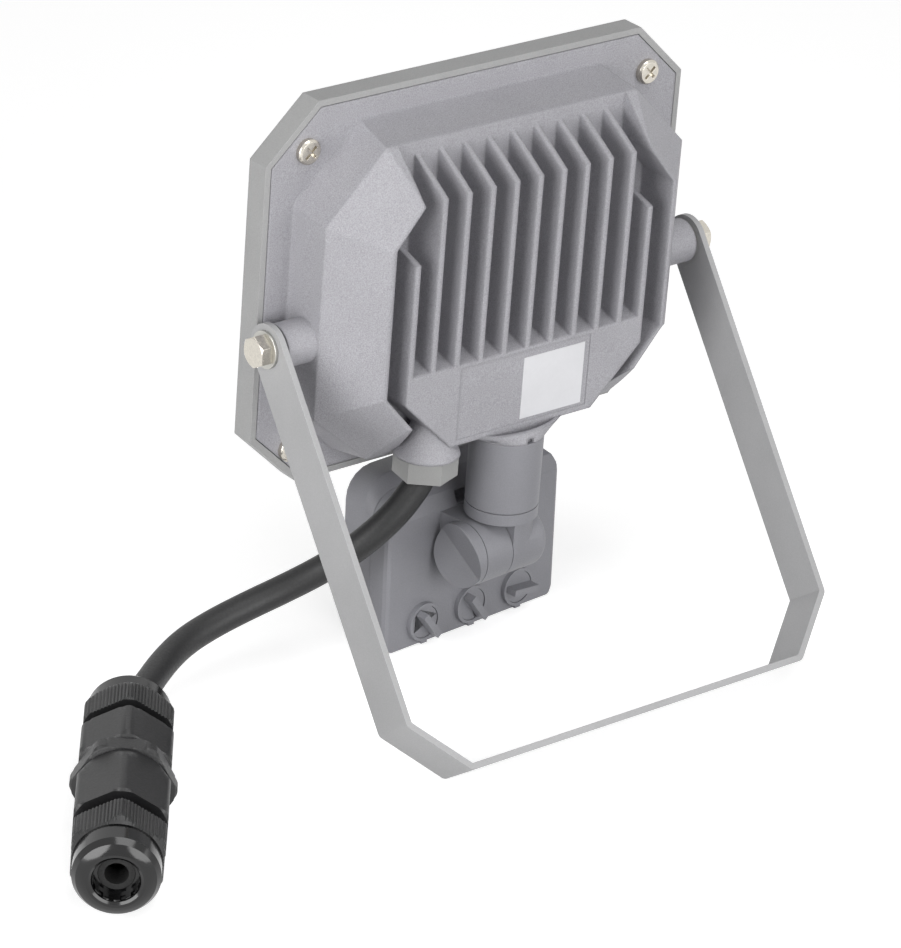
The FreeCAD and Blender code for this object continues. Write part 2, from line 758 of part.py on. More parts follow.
def make_rear_housing():
    """The die-cast housing: flange, drafted tier, cheeks, fins, fascia, pivot bosses and necks."""
    piece = Piece("rear_housing")
    piece.pad("XZ", flange_front, 0, polygon_loop(frame_outline(0)))
    base = octagon(dim("base_half_width"), dim("base_top"), dim("base_low"), dim("base_cut_width"),
                   dim("base_cut_height"), dim("base_low_cut_width"), dim("base_low_cut_height"))
    tier = octagon(dim("tier_half_width"), dim("tier_top"), dim("tier_low"), dim("tier_cut_width"),
                   dim("tier_cut_height"), dim("tier_low_cut_width"), dim("tier_low_cut_height"))
    back = octagon(dim("back_half_width"), dim("back_top"), dim("back_low"), dim("back_cut_width"),
                   dim("back_cut_height"), dim("back_low_cut_width"), dim("back_low_cut_height"))
    piece.loft("XZ", [(-0.01, base), (dim("tier_depth"), tier)])
    piece.loft("XZ", [(dim("tier_depth"), tier), (dim("back_depth"), back)])
    piece.cut("XZ", dim("tier_depth"), dim("back_depth") + 1, polygon_loop(sink_outline()))
    for side in (1, -1):
        piece.hollow_loft("XZ", cheek_underside(side))
    slope = [(dim("tier_depth") - 0.5, dim("slot_slope") - dim("slot_low")),
             (dim("back_depth"), -dim("slot_low")), (dim("tier_depth") - 0.5, -dim("slot_low"))]
    piece.pad("YZ", -dim("fascia_half_width"), dim("fascia_half_width"), polygon_loop(slope))
    first = -(dim("fin_count") - 1) / 2 * dim("fin_pitch")
    fin = piece.pad("YZ", first - dim("fin_thick") / 2, first + dim("fin_thick") / 2,
                    polygon_loop(fin_outline(dim("fin_root_top"), dim("fin_top"))))
    piece.row(fin, "X", (dim("fin_count") - 1) * dim("fin_pitch"), dim("fin_count"))
    short = dim("fascia_half_width") - dim("fin_thick")
    for side in (1, -1):
        low, high = sorted((side * short, side * dim("fascia_half_width")), key=float)
        outline = fin_outline(dim("short_fin_root"), dim("short_fin_top"))
        piece.pad("YZ", low, high, polygon_loop(outline))
        low, high = sorted((side * (dim("tier_half_width") - 5), side * dim("boss_reach")), key=float)
        piece.pad("YZ", low, high, ("circle", dim("pivot_back"), -dim("pivot_low"), dim("boss_radius")))
    neck = (0, dim("neck_back"))
    gland = (dim("gland_side"), dim("gland_back"))
    for place, seat, room in ((neck, dim("collar_low"), dim("neck_radius") + 0.05),
                              (gland, dim("gland_seat"), dim("gland_flare") + 0.6)):
        piece.cut("XY", -seat - 4, -seat, ("circle", *place, room))
    collar_top = dim("collar_high") - dim("collar_low")
    round_foot = ("circle", *neck, dim("neck_radius"))
    oval_top = ("oval", *neck, dim("collar_half_width"), dim("collar_half_deep"))
    piece.blend("XY", [(-dim("collar_low"), round_foot), (collar_top, oval_top)])
    piece.cut("XY", collar_top - dim("collar_groove"), collar_top + 1, polygon_loop(collar_groove()))
    foot, level = dim("gland_flare"), -dim("gland_seat")
    for high, narrowing in ((1.0, 0.3), (2.2, 1.7), (2.6, 1.4), (4.2, 1.6)):
        sizes = {"Radius1": foot, "Radius2": foot - narrowing, "Height": high}
        piece.primitive("AdditiveCone", sizes, *gland, level)
        foot, level = foot - narrowing, level + high
    stub_end = -dim("gland_seat") - dim("gland_stub_long")
    piece.pad("XY", stub_end, -dim("gland_seat") + 1, ("circle", *gland, dim("gland_stub_radius")))
    wall = dim("housing_wall")
    inner = octagon(dim("tier_half_width") - wall, dim("tier_top") - wall, dim("tier_low") - wall,
                    dim("tier_cut_width"), dim("tier_cut_height"),
                    dim("tier_low_cut_width"), dim("tier_low_cut_height"))
    piece.cut("XZ", flange_front - 1, cavity_back, polygon_loop(inner))
    half = dim("panel_half_width")
    piece.cut("XZ", dim("back_depth") - dim("panel_deep"), dim("back_depth") + 1,
              box_loop(-half, dim("panel_edge") - dim("back_low"), half, -dim("slot_low") - 1.1))
    pocket = mirrored([
        (dim("fascia_half_foot") - wall * 0.6, -(dim("back_low") - wall * 1.2)),
        (dim("fascia_half_width") - wall, -(dim("fascia_shoulder") - wall * 0.4)),
        (dim("fascia_half_width") - wall, -(dim("slot_low") + wall * 1.4)),
    ])
    piece.cut("XZ", cavity_back - 1, dim("back_depth") - wall, polygon_loop(pocket))
    piece.cut("XZ", flange_front - 1, 1, *[("circle", across, up, dim("screw_radius") + 0.2)
                                           for across, up in SCREWS])
    for side in (1, -1):
        low, high = sorted((side * (dim("boss_reach") - 10), side * (dim("boss_reach") + 1)), key=float)
        piece.cut("YZ", low, high,
                  ("circle", dim("pivot_back"), -dim("pivot_low"), dim("bolt_radius") + THREAD_GAP))
    piece.cut("XY", -dim("collar_low") - 1, -dim("back_low") + wall * 1.4,
              ("circle", *neck, dim("wire_bore")))
    piece.cut("XY", stub_end - 1, cable_start,
              ("circle", *gland, dim("cable_radius") + dim("cable_gap")))
    piece.cut("XY", cable_start - 1, -dim("fascia_shoulder") - 6, ("circle", *gland, CORE_BORE))
    piece.cut("XZ", cavity_back - 0.5, cavity_back + 2.2,
              *[("circle", across, up, 1.5 + THREAD_GAP) for across, up in LED_SCREWS])
    notch_back = dim("neck_back") + dim("neck_radius")
    piece.cut("XZ", notch_back - 1.4, notch_back + 1,
              polygon_loop([(-1.1, -dim("collar_low") - 1), (1.1, -dim("collar_low") - 1),
                            (1.1, -dim("collar_low") + 1.5), (-1.1, -dim("collar_low") + 1.5)]))
    return piece.finish(head_place)


def make_blank_sticker():
    """The plain white label on the fascia: four corners, a fifth of a millimetre thick."""
    piece = Piece("blank_sticker")
    back = dim("back_depth") - dim("panel_deep") + 0.02
    left = -dim("sticker_side")
    right = left + dim("sticker_wide")
    low = dim("sticker_rise") - dim("back_low")
    high = low + dim("sticker_high")
    piece.pad("XZ", back, back + 0.15, box_loop(left, low, right, high))
    return piece.finish(head_place)


def make_driver_board():
    piece = Piece("driver_board")
    low = -dim("driver_board_low")
    high = low + dim("driver_board_high")
    piece.pad("XZ", cavity_back - 1.6, cavity_back, box_loop(-34, low, 34, high))
    return piece.finish(head_place)


def make_driver_parts():
    face = float(cavity_back)
    low = -float(dim("driver_board_low"))
    transformer = Part.makeBox(17, 12.4, 12.0, vector(-22, face, low + 0.9))
    choke = Part.makeCylinder(4.5, 8, vector(3, face, low + 6.5), vector(0, 1, 0))
    capacitor = Part.makeCylinder(4.0, 12, vector(13, face, low + 6.5), vector(0, 1, 0))
    rectifier = Part.makeBox(7, 3.2, 6, vector(20, face, low + 4.5))
    terminals = Part.makeBox(14, 5.2, 6, vector(-9, face - 6.8, low + 0.7))
    return group("driver_parts", [transformer, choke, capacitor, rectifier, terminals], head_place)


def make_gland_nut():
    piece = Piece("gland_nut")
    top = -dim("gland_seat") - dim("gland_nut_gap")
    low = top - dim("gland_nut_high")
    gland = (dim("gland_side"), dim("gland_back"))
    piece.pad("XY", low, top, polygon_loop(hexagon(*gland, dim("gland_nut_flats"), GLAND_TURN)))
    piece.cut("XY", low + 1.2, top + 1, ("circle", *gland, dim("gland_stub_radius") + THREAD_GAP))
    piece.cut("XY", low - 1, low + 2, ("circle", *gland, dim("cable_radius") + 1.0))
    return piece.finish(head_place)


def make_gland_seal():
    piece = Piece("gland_seal")
    low = -dim("gland_seat") - dim("gland_nut_gap") - dim("gland_nut_high") + 1.2
    stub_end = -dim("gland_seat") - dim("gland_stub_long")
    gland = (dim("gland_side"), dim("gland_back"))
    piece.pad("XY", low, stub_end, ("circle", *gland, dim("gland_stub_radius")),
              ("circle", *gland, dim("cable_radius") + 2 * dim("cable_gap")))
    return piece.finish(head_place)


def make_neck_sleeve():
    piece = Piece("neck_sleeve")
    top = -dim("collar_low")
    low = top - dim("sleeve_long")
    neck = (0, dim("neck_back"))
    piece.pad("XY", low, top, ("circle", *neck, dim("neck_radius")))
    piece.cut("XY", top - dim("sleeve_shelf"), top + 1, ("circle", *neck, dim("sleeve_bore")))
    piece.cut("XY", low - 1, top - 2 * dim("sleeve_shelf"), ("circle", *neck, dim("sleeve_bore")))
    piece.cut("XY", low, top, ("circle", *neck, dim("stem_radius") + dim("turn_gap") / 2))
    return piece.finish(head_place)


# levels of the yoke, up from the middle of the barrel
ring_low = dim("barrel_radius") + dim("barrel_drop")
ring_top = ring_low + dim("ring_high")
sleeve_top = ring_top + dim("sleeve_long")


def make_swivel_knuckle():
    """The ring that turns under the sleeve, its stem, and the right half of the knuckle barrel."""
    piece = Piece("swivel_knuckle")
    gap = dim("turn_gap")
    shelf = sleeve_top - 2 * dim("sleeve_shelf")
    right = -dim("barrel_right")
    seam = dim("barrel_seam") - dim("face_gap") / 2
    piece.pad("YZ", right, seam, ("circle", 0, 0, dim("barrel_radius")))
    piece.soften("Fillet", 2.5, lambda edge: on_level(edge, "x", right))
    piece.pad("XY", 0, ring_low + 0.5, ("circle", 0, 0, dim("barrel_radius")))
    side = dim("neck_radius") + 1
    piece.cut("YZ", seam, side + 2, box_loop(-side, -side, side, ring_low))
    piece.pad("XY", ring_low, ring_top - gap, ("circle", 0, 0, dim("neck_radius")))
    piece.pad("XY", ring_low + 1, shelf - gap, ("circle", 0, 0, dim("sleeve_bore") - gap / 2))
    piece.pad("XY", shelf - 1, sleeve_top - 0.5, ("circle", 0, 0, dim("stem_radius")))
    piece.cut("XY", 4.6, sleeve_top + 1, ("circle", -1.5, 0, dim("wire_bore") - 1))
    piece.cut("YZ", right + 3, seam + 1,
              ("circle", 0, 0, dim("lock_screw_radius") + dim("turn_gap") / 2))
    piece.cut("YZ", right + 3.2, right + 7.2, polygon_loop(hexagon(0, 0, 8.0)))
    return piece.finish(yoke_place)


def make_swivel_nut():
    piece = Piece("swivel_nut")
    seat = sleeve_top - dim("sleeve_shelf") + dim("turn_gap")
    piece.pad("XY", seat, sleeve_top - 0.5, ("circle", 0, 0, dim("sleeve_bore") - 0.4),
              ("circle", 0, 0, dim("stem_radius") + THREAD_GAP))
    return piece.finish(yoke_place)


def make_lock_nut():
    piece = Piece("lock_nut")
    right = -dim("barrel_right")
    piece.pad("YZ", right + 3.25, right + 7.15, polygon_loop(hexagon(0, 0, 7.96)),
              ("circle", 0, 0, dim("lock_screw_radius") + THREAD_GAP))
    return piece.finish(yoke_place)


def make_lock_knob():
    """A round knob with a valley across its face, on the screw that clamps the knuckle."""
    piece = Piece("lock_knob")
    inner = dim("barrel_left") + dim("face_gap")
    outer = inner + dim("knob_thick")
    radius = dim("barrel_radius")
    piece.pad("YZ", inner, outer, ("circle", 0, 0, radius))
    piece.soften("Chamfer", 0.5, lambda edge: on_level(edge, "x", outer))
    valley = [(outer + 0.1, -radius - 0.1), (outer + 0.1, radius + 0.1), (outer - dim("knob_dish"), 0)]
    piece.cut("XZ", -radius - 1, radius + 1, polygon_loop(valley))
    piece.pad("YZ", -dim("barrel_right") + 3.4, inner + 0.5, ("circle", 0, 0, dim("lock_screw_radius")))
    return piece.finish(knob_place)


def rounded_outline(half_width, low, top, top_corner, low_corner, steps=5):
    """A box outline from behind whose corners are rounded in short straight steps."""
    left = -dim("sensor_shift") - half_width
    right = -dim("sensor_shift") + half_width
    corners = [(right, low, -1, 1, low_corner, -90), (right, top, -1, -1, top_corner, 0),
               (left, top, 1, -1, top_corner, 90), (left, low, 1, 1, low_corner, 180)]
    points = []
    for across, up, turn_in, turn_up, radius, start in corners:
        centre = (across + turn_in * radius, up + turn_up * radius)
        for step in range(steps + 1):
            angle = math.radians(start + 90 * step / steps)
            points.append((centre[0] + radius * math.cos(angle), centre[1] + radius * math.sin(angle)))
    return points


def sensor_corners(shrink=0):
    return dim("sensor_corner") - shrink, dim("sensor_foot_corner") - shrink


def seam_outline():
    """The outline where the sensor's two shells meet."""
    return rounded_outline(dim("sensor_half_width"), -dim("sensor_seam_low"), dim("sensor_seam_top"),
                           *sensor_corners())


def make_sensor_back_shell():
    piece = Piece("sensor_back_shell")
    seam = -dim("sensor_seam")
    back = -dim("sensor_back")
    wall = dim("sensor_wall")
    half = dim("sensor_half_width")
    sections = [(seam, seam_outline())]
    # the back's edge is rounded in two steps, and the underside runs straight on to it
    for step, deep in ((0, 1), (1 / 3, 1 / 3), (1, 0)):
        inset = dim("sensor_rim_inset") * step
        under = dim("sensor_rim_inset") * deep
        low = dim("sensor_low") - dim("sensor_seam_rise") * under / dim("sensor_back_deep")
        sections.append((back - under, rounded_outline(half - inset, -low, dim("sensor_seam_top"),
                                                       *sensor_corners(inset))))
    piece.loft("XZ", sections)
    far = dim("sensor_half_width") + 5
    above = [(back + 1, dim("sensor_crease")), (back, dim("sensor_crease")),
             (-dim("sensor_bevel_out"), dim("sensor_bevel_top")), (seam, dim("sensor_seam_top")),
             (seam, dim("sensor_seam_top") + 5), (back + 1, dim("sensor_seam_top") + 5)]
    piece.cut("YZ", -far, far, polygon_loop(above))
    room = rounded_outline(half - wall, -dim("sensor_seam_low") + wall, dim("sensor_crease") - 1,
                           as_size(3), as_size(1.5))
    piece.cut("XZ", seam - 1, back - wall, polygon_loop(room))
    notch = [(-11.2, 9.6), (6.2, 9.6), (6.2, 12.8), (-11.2, 12.8)]
    piece.cut("XZ", -14.0, back + 1, polygon_loop(notch))
    radius = dim("barrel_radius")
    lug_low = dim("barrel_seam") + dim("face_gap") / 2
    piece.pad("YZ", lug_low, dim("barrel_left"), ("circle", 0, 0, radius))
    piece.pad("YZ", lug_low, dim("barrel_left"),
              polygon_loop([(back - 0.5, dim("sensor_crease") - 0.2), (back - 0.5, 1 - radius),
                            (0, 0.1 - radius), (0, radius - 0.1)]))
    for place in ADJUSTER_PLACES:
        centre = (place * dim("adjuster_pitch"), -dim("adjuster_low"))
        face = back + dim("adjuster_proud")
        piece.pad("XZ", back - 0.5, face, ("circle", *centre, dim("adjuster_ring")))
        piece.cut("XZ", back - wall - 1, face + 1, ("circle", *centre, dim("adjuster_bore")))
        foot = centre[1] - dim("adjuster_ring")
        piece.pad("XZ", back - 0.5, face - 0.2,
                  box_loop(centre[0] - 1.1, foot - 0.8, centre[0] + 1.1, foot + 0.7))
    piece.cut("YZ", lug_low - 1, dim("barrel_left") + 1,
              ("circle", 0, 0, dim("lock_screw_radius") + dim("turn_gap") / 2))
    return piece.finish(sensor_place)


def make_sensor_front_shell():
    piece = Piece("sensor_front_shell")
    seam = -dim("sensor_seam") - SEAM_GAP
    front = -dim("sensor_front")
    wall = dim("sensor_wall")
    half = dim("sensor_half_width")
    top = dim("sensor_front_top")
    low = -dim("sensor_front_low")
    piece.loft("XZ", [
        (front, rounded_outline(half - 3, low + 1.5, top - 1.5, *sensor_corners(1.5))),
        (front + 1.5, rounded_outline(half - 1.5, low, top, *sensor_corners())),
        (as_size(-21), rounded_outline(half - 0.3, -dim("sensor_seam_low") + 0.3, top + 0.5,
                                       *sensor_corners())),
        (seam, seam_outline())])
    room = rounded_outline(half - 4, low + 1.6, dim("sensor_seam_top") - 2, as_size(6), as_size(1.5))
    piece.cut("XZ", front + wall, seam + 1, polygon_loop(room))
    piece.cut("XZ", front - 1, front + wall + 1,
              ("circle", -dim("sensor_shift"), -dim("lens_low"), dim("lens_radius") + 0.1))
    return piece.finish(sensor_place)


def make_sensor_lens():
    """The domed lens: a cap with an even wall and a small flange behind the shell's round window."""
    rim = float(dim("lens_radius"))
    dome = float(dim("lens_dome"))
    wall = float(dim("lens_wall"))
    depth = float(dim("sensor_wall"))
    centre = vector(-float(dim("sensor_shift")), -float(dim("sensor_front")), -float(dim("lens_low")))
    ball = (rim * rim + dome * dome) / (2 * dome)
    inner = rim - wall - 0.4

    def arc(radius, edge):
        span = math.asin(edge / radius)
        angles = [span * step / 7 for step in range(8)]
        return [(radius * math.sin(angle), ball - dome - radius * math.cos(angle)) for angle in angles]

    profile = arc(ball, rim)
    profile += [(rim, depth + 0.1), (rim + 0.8, depth + 0.1)]
    profile += [(rim + 0.8, depth + 0.9), (inner, depth + 0.9)]
    profile += reversed(arc(ball - wall, inner))
    points = [centre + vector(across, out, 0) for across, out in profile]
    face = Part.Face(Part.makePolygon(points + points[:1]))
    return group("sensor_lens", [face.revolve(centre, vector(0, 1, 0), 360)], sensor_place)


def make_sensor_inside():
    board_back = -float(dim("sensor_seam")) - 1.0
    shift = -float(dim("sensor_shift"))
    half = float(dim("sensor_half_width")) - 4.8
    low = 4.0 - float(dim("sensor_low"))
    high = float(dim("sensor_seam_top")) - 6 - low
    board = Part.makeBox(2 * half, 1.6, high, vector(shift - half, board_back - 1.6, low))
    group("sensor_board", [board], sensor_place)
    face = board_back - 1.6
    eye = Part.makeCylinder(4.6, 4.2, vector(shift, face, -float(dim("lens_low"))), vector(0, -1, 0))
    group("infrared_eye", [eye], sensor_place)
    relay = Part.makeBox(15, 4.6, 9, vector(shift - 8, board_back, -10))
    buffer = Part.makeCylinder(2.5, 4.4, vector(shift + 20, board_back, -4), vector(0, 1, 0))
    group("sensor_relay", [relay, buffer], sensor_place)
    pots = []
    pot_low = -float(dim("adjuster_low")) - 2.7
    for place in ADJUSTER_PLACES:
        across = place * float(dim("adjuster_pitch"))
        pots.append(Part.makeBox(5.4, 1.6, 5.4, vector(across - 2.7, board_back, pot_low)))
    group("adjuster_pots", pots, sensor_place)


def make_adjuster(label, place, blade_turn):
    """A small round adjuster with a blade grip, in its ring on the sensor's back."""
    across = place * float(dim("adjuster_pitch"))
    centre = vector(across, 0, -float(dim("adjuster_low")))
    face = -float(dim("sensor_back")) + float(dim("adjuster_proud")) - 0.3
    root = -float(dim("sensor_seam")) + 0.7
    disc_back = -float(dim("sensor_back")) - float(dim("sensor_wall")) + 0.2
    along_y = vector(0, 1, 0)
    disc = Part.makeCylinder(float(dim("adjuster_radius")), face - disc_back,
                             centre + along_y * disc_back, along_y)
    shaft = Part.makeCylinder(1.6, disc_back - root + 0.2, centre + along_y * root, along_y)
    length, thick, high = (float(dim("adjuster_blade_" + name)) for name in ("long", "thick", "high"))
    blade = Part.makeBox(length, high + 0.3, thick, vector(-length / 2, -0.3, -thick / 2))
    blade.rotate(vector(0, 0, 0), vector(0, 1, 0), blade_turn)
    blade.translate(centre + vector(0, face, 0))
    return group(label, [disc.fuse([shaft, blade]).removeSplitter()], sensor_place)


def lower_bend(edge):
    return along(edge, "y") and edge.CenterOfMass.z < -50


def outside(edge):
    place = edge.CenterOfMass
    outer_arm = abs(abs(place.x) - float(dim("arm_outer"))) < 0.05
    under_bar = abs(place.z + float(dim("bar_reach"))) < 0.05
    return outer_arm or under_bar and abs(place.x) > float(dim("bar_half")) - 0.05


def inside(edge):
    place = edge.CenterOfMass
    thick = float(dim("strip_thick"))
    inner_arm = abs(abs(place.x) - float(dim("arm_outer")) + thick) < 0.05
    over_bar = abs(place.z + float(dim("bar_reach")) - thick) < 0.05
    return inner_arm or over_bar


def make_mounting_bracket():
    """One strip bent to a U with slanted corners, its arm tops rounded about the pivots."""
    piece = Piece("mounting_bracket")
    thick = dim("strip_thick")
    outer = [(dim("bar_half"), -dim("bar_reach")), (dim("arm_outer"), -dim("arm_reach")),
             (dim("arm_outer"), dim("strip_width") / 2)]
    strip_end = dim("strip_width") / 2
    # the slant's inner corners lie where offset lines meet
    rise = float(dim("bar_reach")) - float(dim("arm_reach"))
    run = float(dim("arm_outer")) - float(dim("bar_half"))
    slant = math.atan2(rise, run)
    low_share = math.tan(slant / 2)
    high_share = math.tan((math.pi / 2 - slant) / 2)
    inner = [(dim("arm_outer") - thick, dim("strip_width") / 2),
             (dim("arm_outer") - thick, -dim("arm_reach") + thick * high_share),
             (dim("bar_half") - thick * low_share, -dim("bar_reach") + thick)]
    half = outer + inner
    whole = half + [(-as_size(across), up) for across, up in reversed(half)]
    piece.pad("XZ", -dim("strip_width") / 2, dim("strip_width") / 2, polygon_loop(whole))
    piece.soften("Fillet", dim("bend_radius"), lambda edge: lower_bend(edge) and outside(edge))
    piece.soften("Fillet", dim("bend_radius") - 1.7, lambda edge: lower_bend(edge) and inside(edge))
    piece.soften("Fillet", strip_end - 0.05, lambda edge: along(edge, "x") and edge.CenterOfMass.z > 0)
    piece.cut("YZ", -dim("arm_outer") - 1, dim("arm_outer") + 1, ("circle", 0, 0, dim("pivot_hole")))
    holes = [("circle", 0, 0, dim("bar_hole"))]
    for side in (1, -1):
        holes.append(("circle", side * dim("bar_bolt_half_span"), 0, dim("bar_bolt_hole")))
    piece.cut("XY", -dim("bar_reach") - 1, -dim("bar_reach") + thick + 1, *holes)
    return piece.finish(bracket_place)


def hex_head(place, direction, flats, high):
    corner = flats / math.sqrt(3)
    angles = [math.radians(60 * step) for step in range(7)]
    points = [vector(corner * math.cos(angle), corner * math.sin(angle), 0) for angle in angles]
    head = Part.Face(Part.makePolygon(points)).extrude(vector(0, 0, high))
    head = head.common(Part.makeCone(flats * 0.49 + 1.73 * high, flats * 0.49, high))
    head.Placement = FreeCAD.Placement(place, FreeCAD.Rotation(UP, direction))
    return head


def make_pivot_hardware():
    """Bolts through the bracket's arms into the bosses, with a washer inside and outside each arm."""
    bolts, inner_washers, outer_washers = [], [], []
    radius = float(dim("bolt_radius"))
    flats, head_high = float(dim("bolt_flats")), float(dim("bolt_head_high"))
    washer = float(dim("washer_radius"))
    thick = float(dim("washer_thick"))
    arm_out = float(dim("arm_outer"))
    arm_in = arm_out - float(dim("strip_thick"))
    boss = float(dim("boss_reach"))
    for side in (1, -1):
        along_x = vector(side, 0, 0)
        axis = vector(0, float(dim("pivot_back")), -float(dim("pivot_low")))
        head_base = arm_out + 0.05 + thick
        start = boss - 8.5
        shank = Part.makeCylinder(radius, head_base - start, axis + along_x * start, along_x)
        head = hex_head(axis + along_x * head_base, along_x, flats, head_high)
        bolts.append(shank.fuse(head))
        for store, start, width in ((inner_washers, boss, arm_in - 0.05 - boss),
                                    (outer_washers, arm_out + 0.05, thick)):
            place = axis + along_x * start
            ring = Part.makeCylinder(washer, width, place, along_x)
            store.append(ring.cut(Part.makeCylinder(radius + 0.15, width, place, along_x)))
    group("pivot_bolts", bolts, head_place)
    group("boss_washers", inner_washers, head_place)
    group("head_washers", outer_washers, head_place)


# levels along the connector, from its cable end to its open end
rear_rib = dim("dome_long")
rear_nut_end = rear_rib + dim("nut_rib_long")
rear_hex = rear_nut_end + dim("thread_show")
flange_start = rear_hex + dim("rear_body_long")
flange_end = flange_start + dim("mid_flange_long")
front_hex_end = flange_end + dim("front_body_long")
front_rib = front_hex_end + dim("thread_show")
front_rib_end = front_rib + dim("nut_rib_long")
connector_end = front_rib_end + dim("front_dome_long")


def round_hexagon(piece, low, high, flats, turn=30, corner=CONNECTOR_ROUND):
    """A hexagonal grip about the upright axis, with rounded corners."""
    piece.pad("XY", low, high, polygon_loop(hexagon(0, 0, flats, turn)))
    middle = (float(low) + float(high)) / 2

    def is_corner(edge):
        place = edge.CenterOfMass
        far_out = math.hypot(place.x, place.y) > float(flats) * 0.52
        return along(edge, "z") and abs(place.z - middle) < 0.1 and far_out

    piece.soften("Fillet", corner, is_corner)


def make_cap_nut(label, rib_start, rib_end, dome_end, throat):
    """A cap nut of the connector: a hexagonal grip and a domed nose with a round mouth."""
    piece = Piece(label)
    grip = dim("connector_flats") - 0.5
    radius = dim("dome_radius")
    mouth = dim("connector_hole")
    round_hexagon(piece, *sorted((rib_start, rib_end), key=float), grip)
    out = 1 if float(dome_end) > float(rib_end) else -1
    deep = dim("throat_deep")
    nose = [(mouth, rib_end - out * 0.5), (radius, rib_end - out * 0.5), (radius, dome_end - out * 2.9),
            (radius - 1.0, dome_end - out * 1.3), (radius - 2.4, dome_end - out * 0.3),
            (radius - 3.6, dome_end), (throat + 0.6, dome_end - out * 0.3),
            (throat, dome_end - out * deep), (mouth, dome_end - out * deep)]
    piece.revolve("XZ", "V_Axis", nose)
    bore_end = rib_end - out * 0.6
    low, high = sorted((rib_start - out * 1, bore_end), key=float)
    piece.cut("XY", low, high, ("circle", 0, 0, dim("thread_radius") + THREAD_GAP))
    low, high = sorted((rib_start, dome_end + out * 1), key=float)
    piece.cut("XY", low, high, ("circle", 0, 0, mouth))
    return piece.finish(connector_place)


def make_connector():
    make_cap_nut("rear_cap_nut", rear_nut_end, rear_rib, as_size(0), dim("connector_hole") + 0.2)
    make_cap_nut("front_cap_nut", front_rib, front_rib_end, connector_end, dim("front_throat"))
    thread = dim("thread_radius")
    room = thread - 1.8
    rear = Piece("connector_rear_body")
    round_hexagon(rear, rear_hex, flange_start, dim("connector_flats"))
    rear.pad("XY", rear_rib + 2.2, rear_hex + 0.5, ("circle", 0, 0, thread))
    rear.pad("XY", flange_start - 0.5, flange_start + 6, ("circle", 0, 0, thread - 1.0))
    rear.cut("XY", rear_rib + 7, flange_start + 7, ("circle", 0, 0, room - 1.0))
    rear.cut("XY", rear_rib, rear_rib + 8, ("circle", 0, 0, dim("cable_radius") + dim("cable_gap")))
    rear.finish(connector_place)
    front = Piece("connector_front_body")
    round_hexagon(front, flange_end, front_hex_end, dim("connector_flats"))
    round_hexagon(front, flange_start + 0.15, flange_end + 0.5, dim("flange_flats"), 0, 2.6)
    front.pad("XY", front_hex_end - 0.5, front_rib_end - 2.2, ("circle", 0, 0, thread))
    front.cut("XY", flange_start - 1, flange_start + 7, ("circle", 0, 0, thread - 1.0 + THREAD_GAP))
    front.cut("XY", flange_start + 6, front_rib_end - 5, ("circle", 0, 0, room - 0.4))
    front.cut("XY", front_rib_end - 6, front_rib_end, ("circle", 0, 0, dim("connector_hole") - 0.4))
    front.finish(connector_place)
    deep = dim("throat_deep")
    tight = dim("cable_radius") + dim("cable_gap")
    open_bore = dim("connector_hole") - 1.6
    outer = dim("connector_hole") - 0.05
    for label, low, high, bore in (
            ("rear_seal", deep, rear_rib + 2.2, tight),
            ("front_seal", front_rib_end - 2.2, connector_end - deep, open_bore)):
        seal = Piece(label)
        seal.pad("XY", low, high, ("circle", 0, 0, outer), ("circle", 0, 0, bore))
        seal.finish(connector_place)
    ring = Piece("connector_o_ring")
    ring.pad("XY", flange_start, flange_start + 0.15,
             ("circle", 0, 0, dim("connector_flats") / 2 - 1.2),
             ("circle", 0, 0, thread - 1.0 + THREAD_GAP))
    ring.finish(connector_place)
    insert = Piece("terminal_insert")
    insert.pad("XY", flange_start + 7.1, front_hex_end - 2, ("circle", 0, 0, room - 0.42))
    holes = [("circle", 3.4 * math.cos(angle), 3.4 * math.sin(angle), 1.4)
             for angle in (math.radians(90 + 120 * step) for step in range(3))]
    insert.cut("XY", front_hex_end - 14, front_hex_end - 1, *holes)
    insert.finish(connector_place)


def turned(place, axis, degrees):
    return place.multiply(FreeCAD.Placement(vector(0, 0, 0), FreeCAD.Rotation(axis, degrees)))


ACROSS, BACK, UP = vector(1, 0, 0), vector(0, 1, 0), vector(0, 0, 1)
pivot = vector(0, dim("pivot_back"), -dim("pivot_low"))
knuckle = vector(0, dim("neck_back"), -dim("collar_low") - sleeve_top)
lean = FreeCAD.Placement(vector(0, 0, 0), FreeCAD.Rotation(ACROSS, float(dim("head_lean"))))


def depth_under_pivot(point):
    """How far under the pivots a point of the sensor's underside lies."""
    place = FreeCAD.Placement(knuckle - pivot, FreeCAD.Rotation())
    place = turned(place, UP, float(dim("sensor_pan_set")))
    place = turned(place, ACROSS, float(dim("sensor_nod_set")))
    return -lean.multVec(place.multVec(point)).z


def sensor_underside():
    flat = float(dim("sensor_half_width") - dim("sensor_foot_corner"))
    shift = float(dim("sensor_shift"))
    levels = ((dim("sensor_back"), dim("sensor_low")), (dim("sensor_seam"), dim("sensor_seam_low")),
              (dim("sensor_front") - 1.5, dim("sensor_front_low")))
    return [vector(across - shift, -out, -low) for across in (flat, -flat) for out, low in levels]


# the light stands on its sensor and on the lower edge of its bracket bar
pivot_height = max(depth_under_pivot(point) for point in sensor_underside())
bar_far = math.hypot(dim("bar_reach"), dim("strip_width") / 2)
bar_lean = math.atan2(dim("strip_width") / 2, dim("bar_reach"))
bar_turn = math.degrees(bar_lean + math.acos(pivot_height / bar_far))

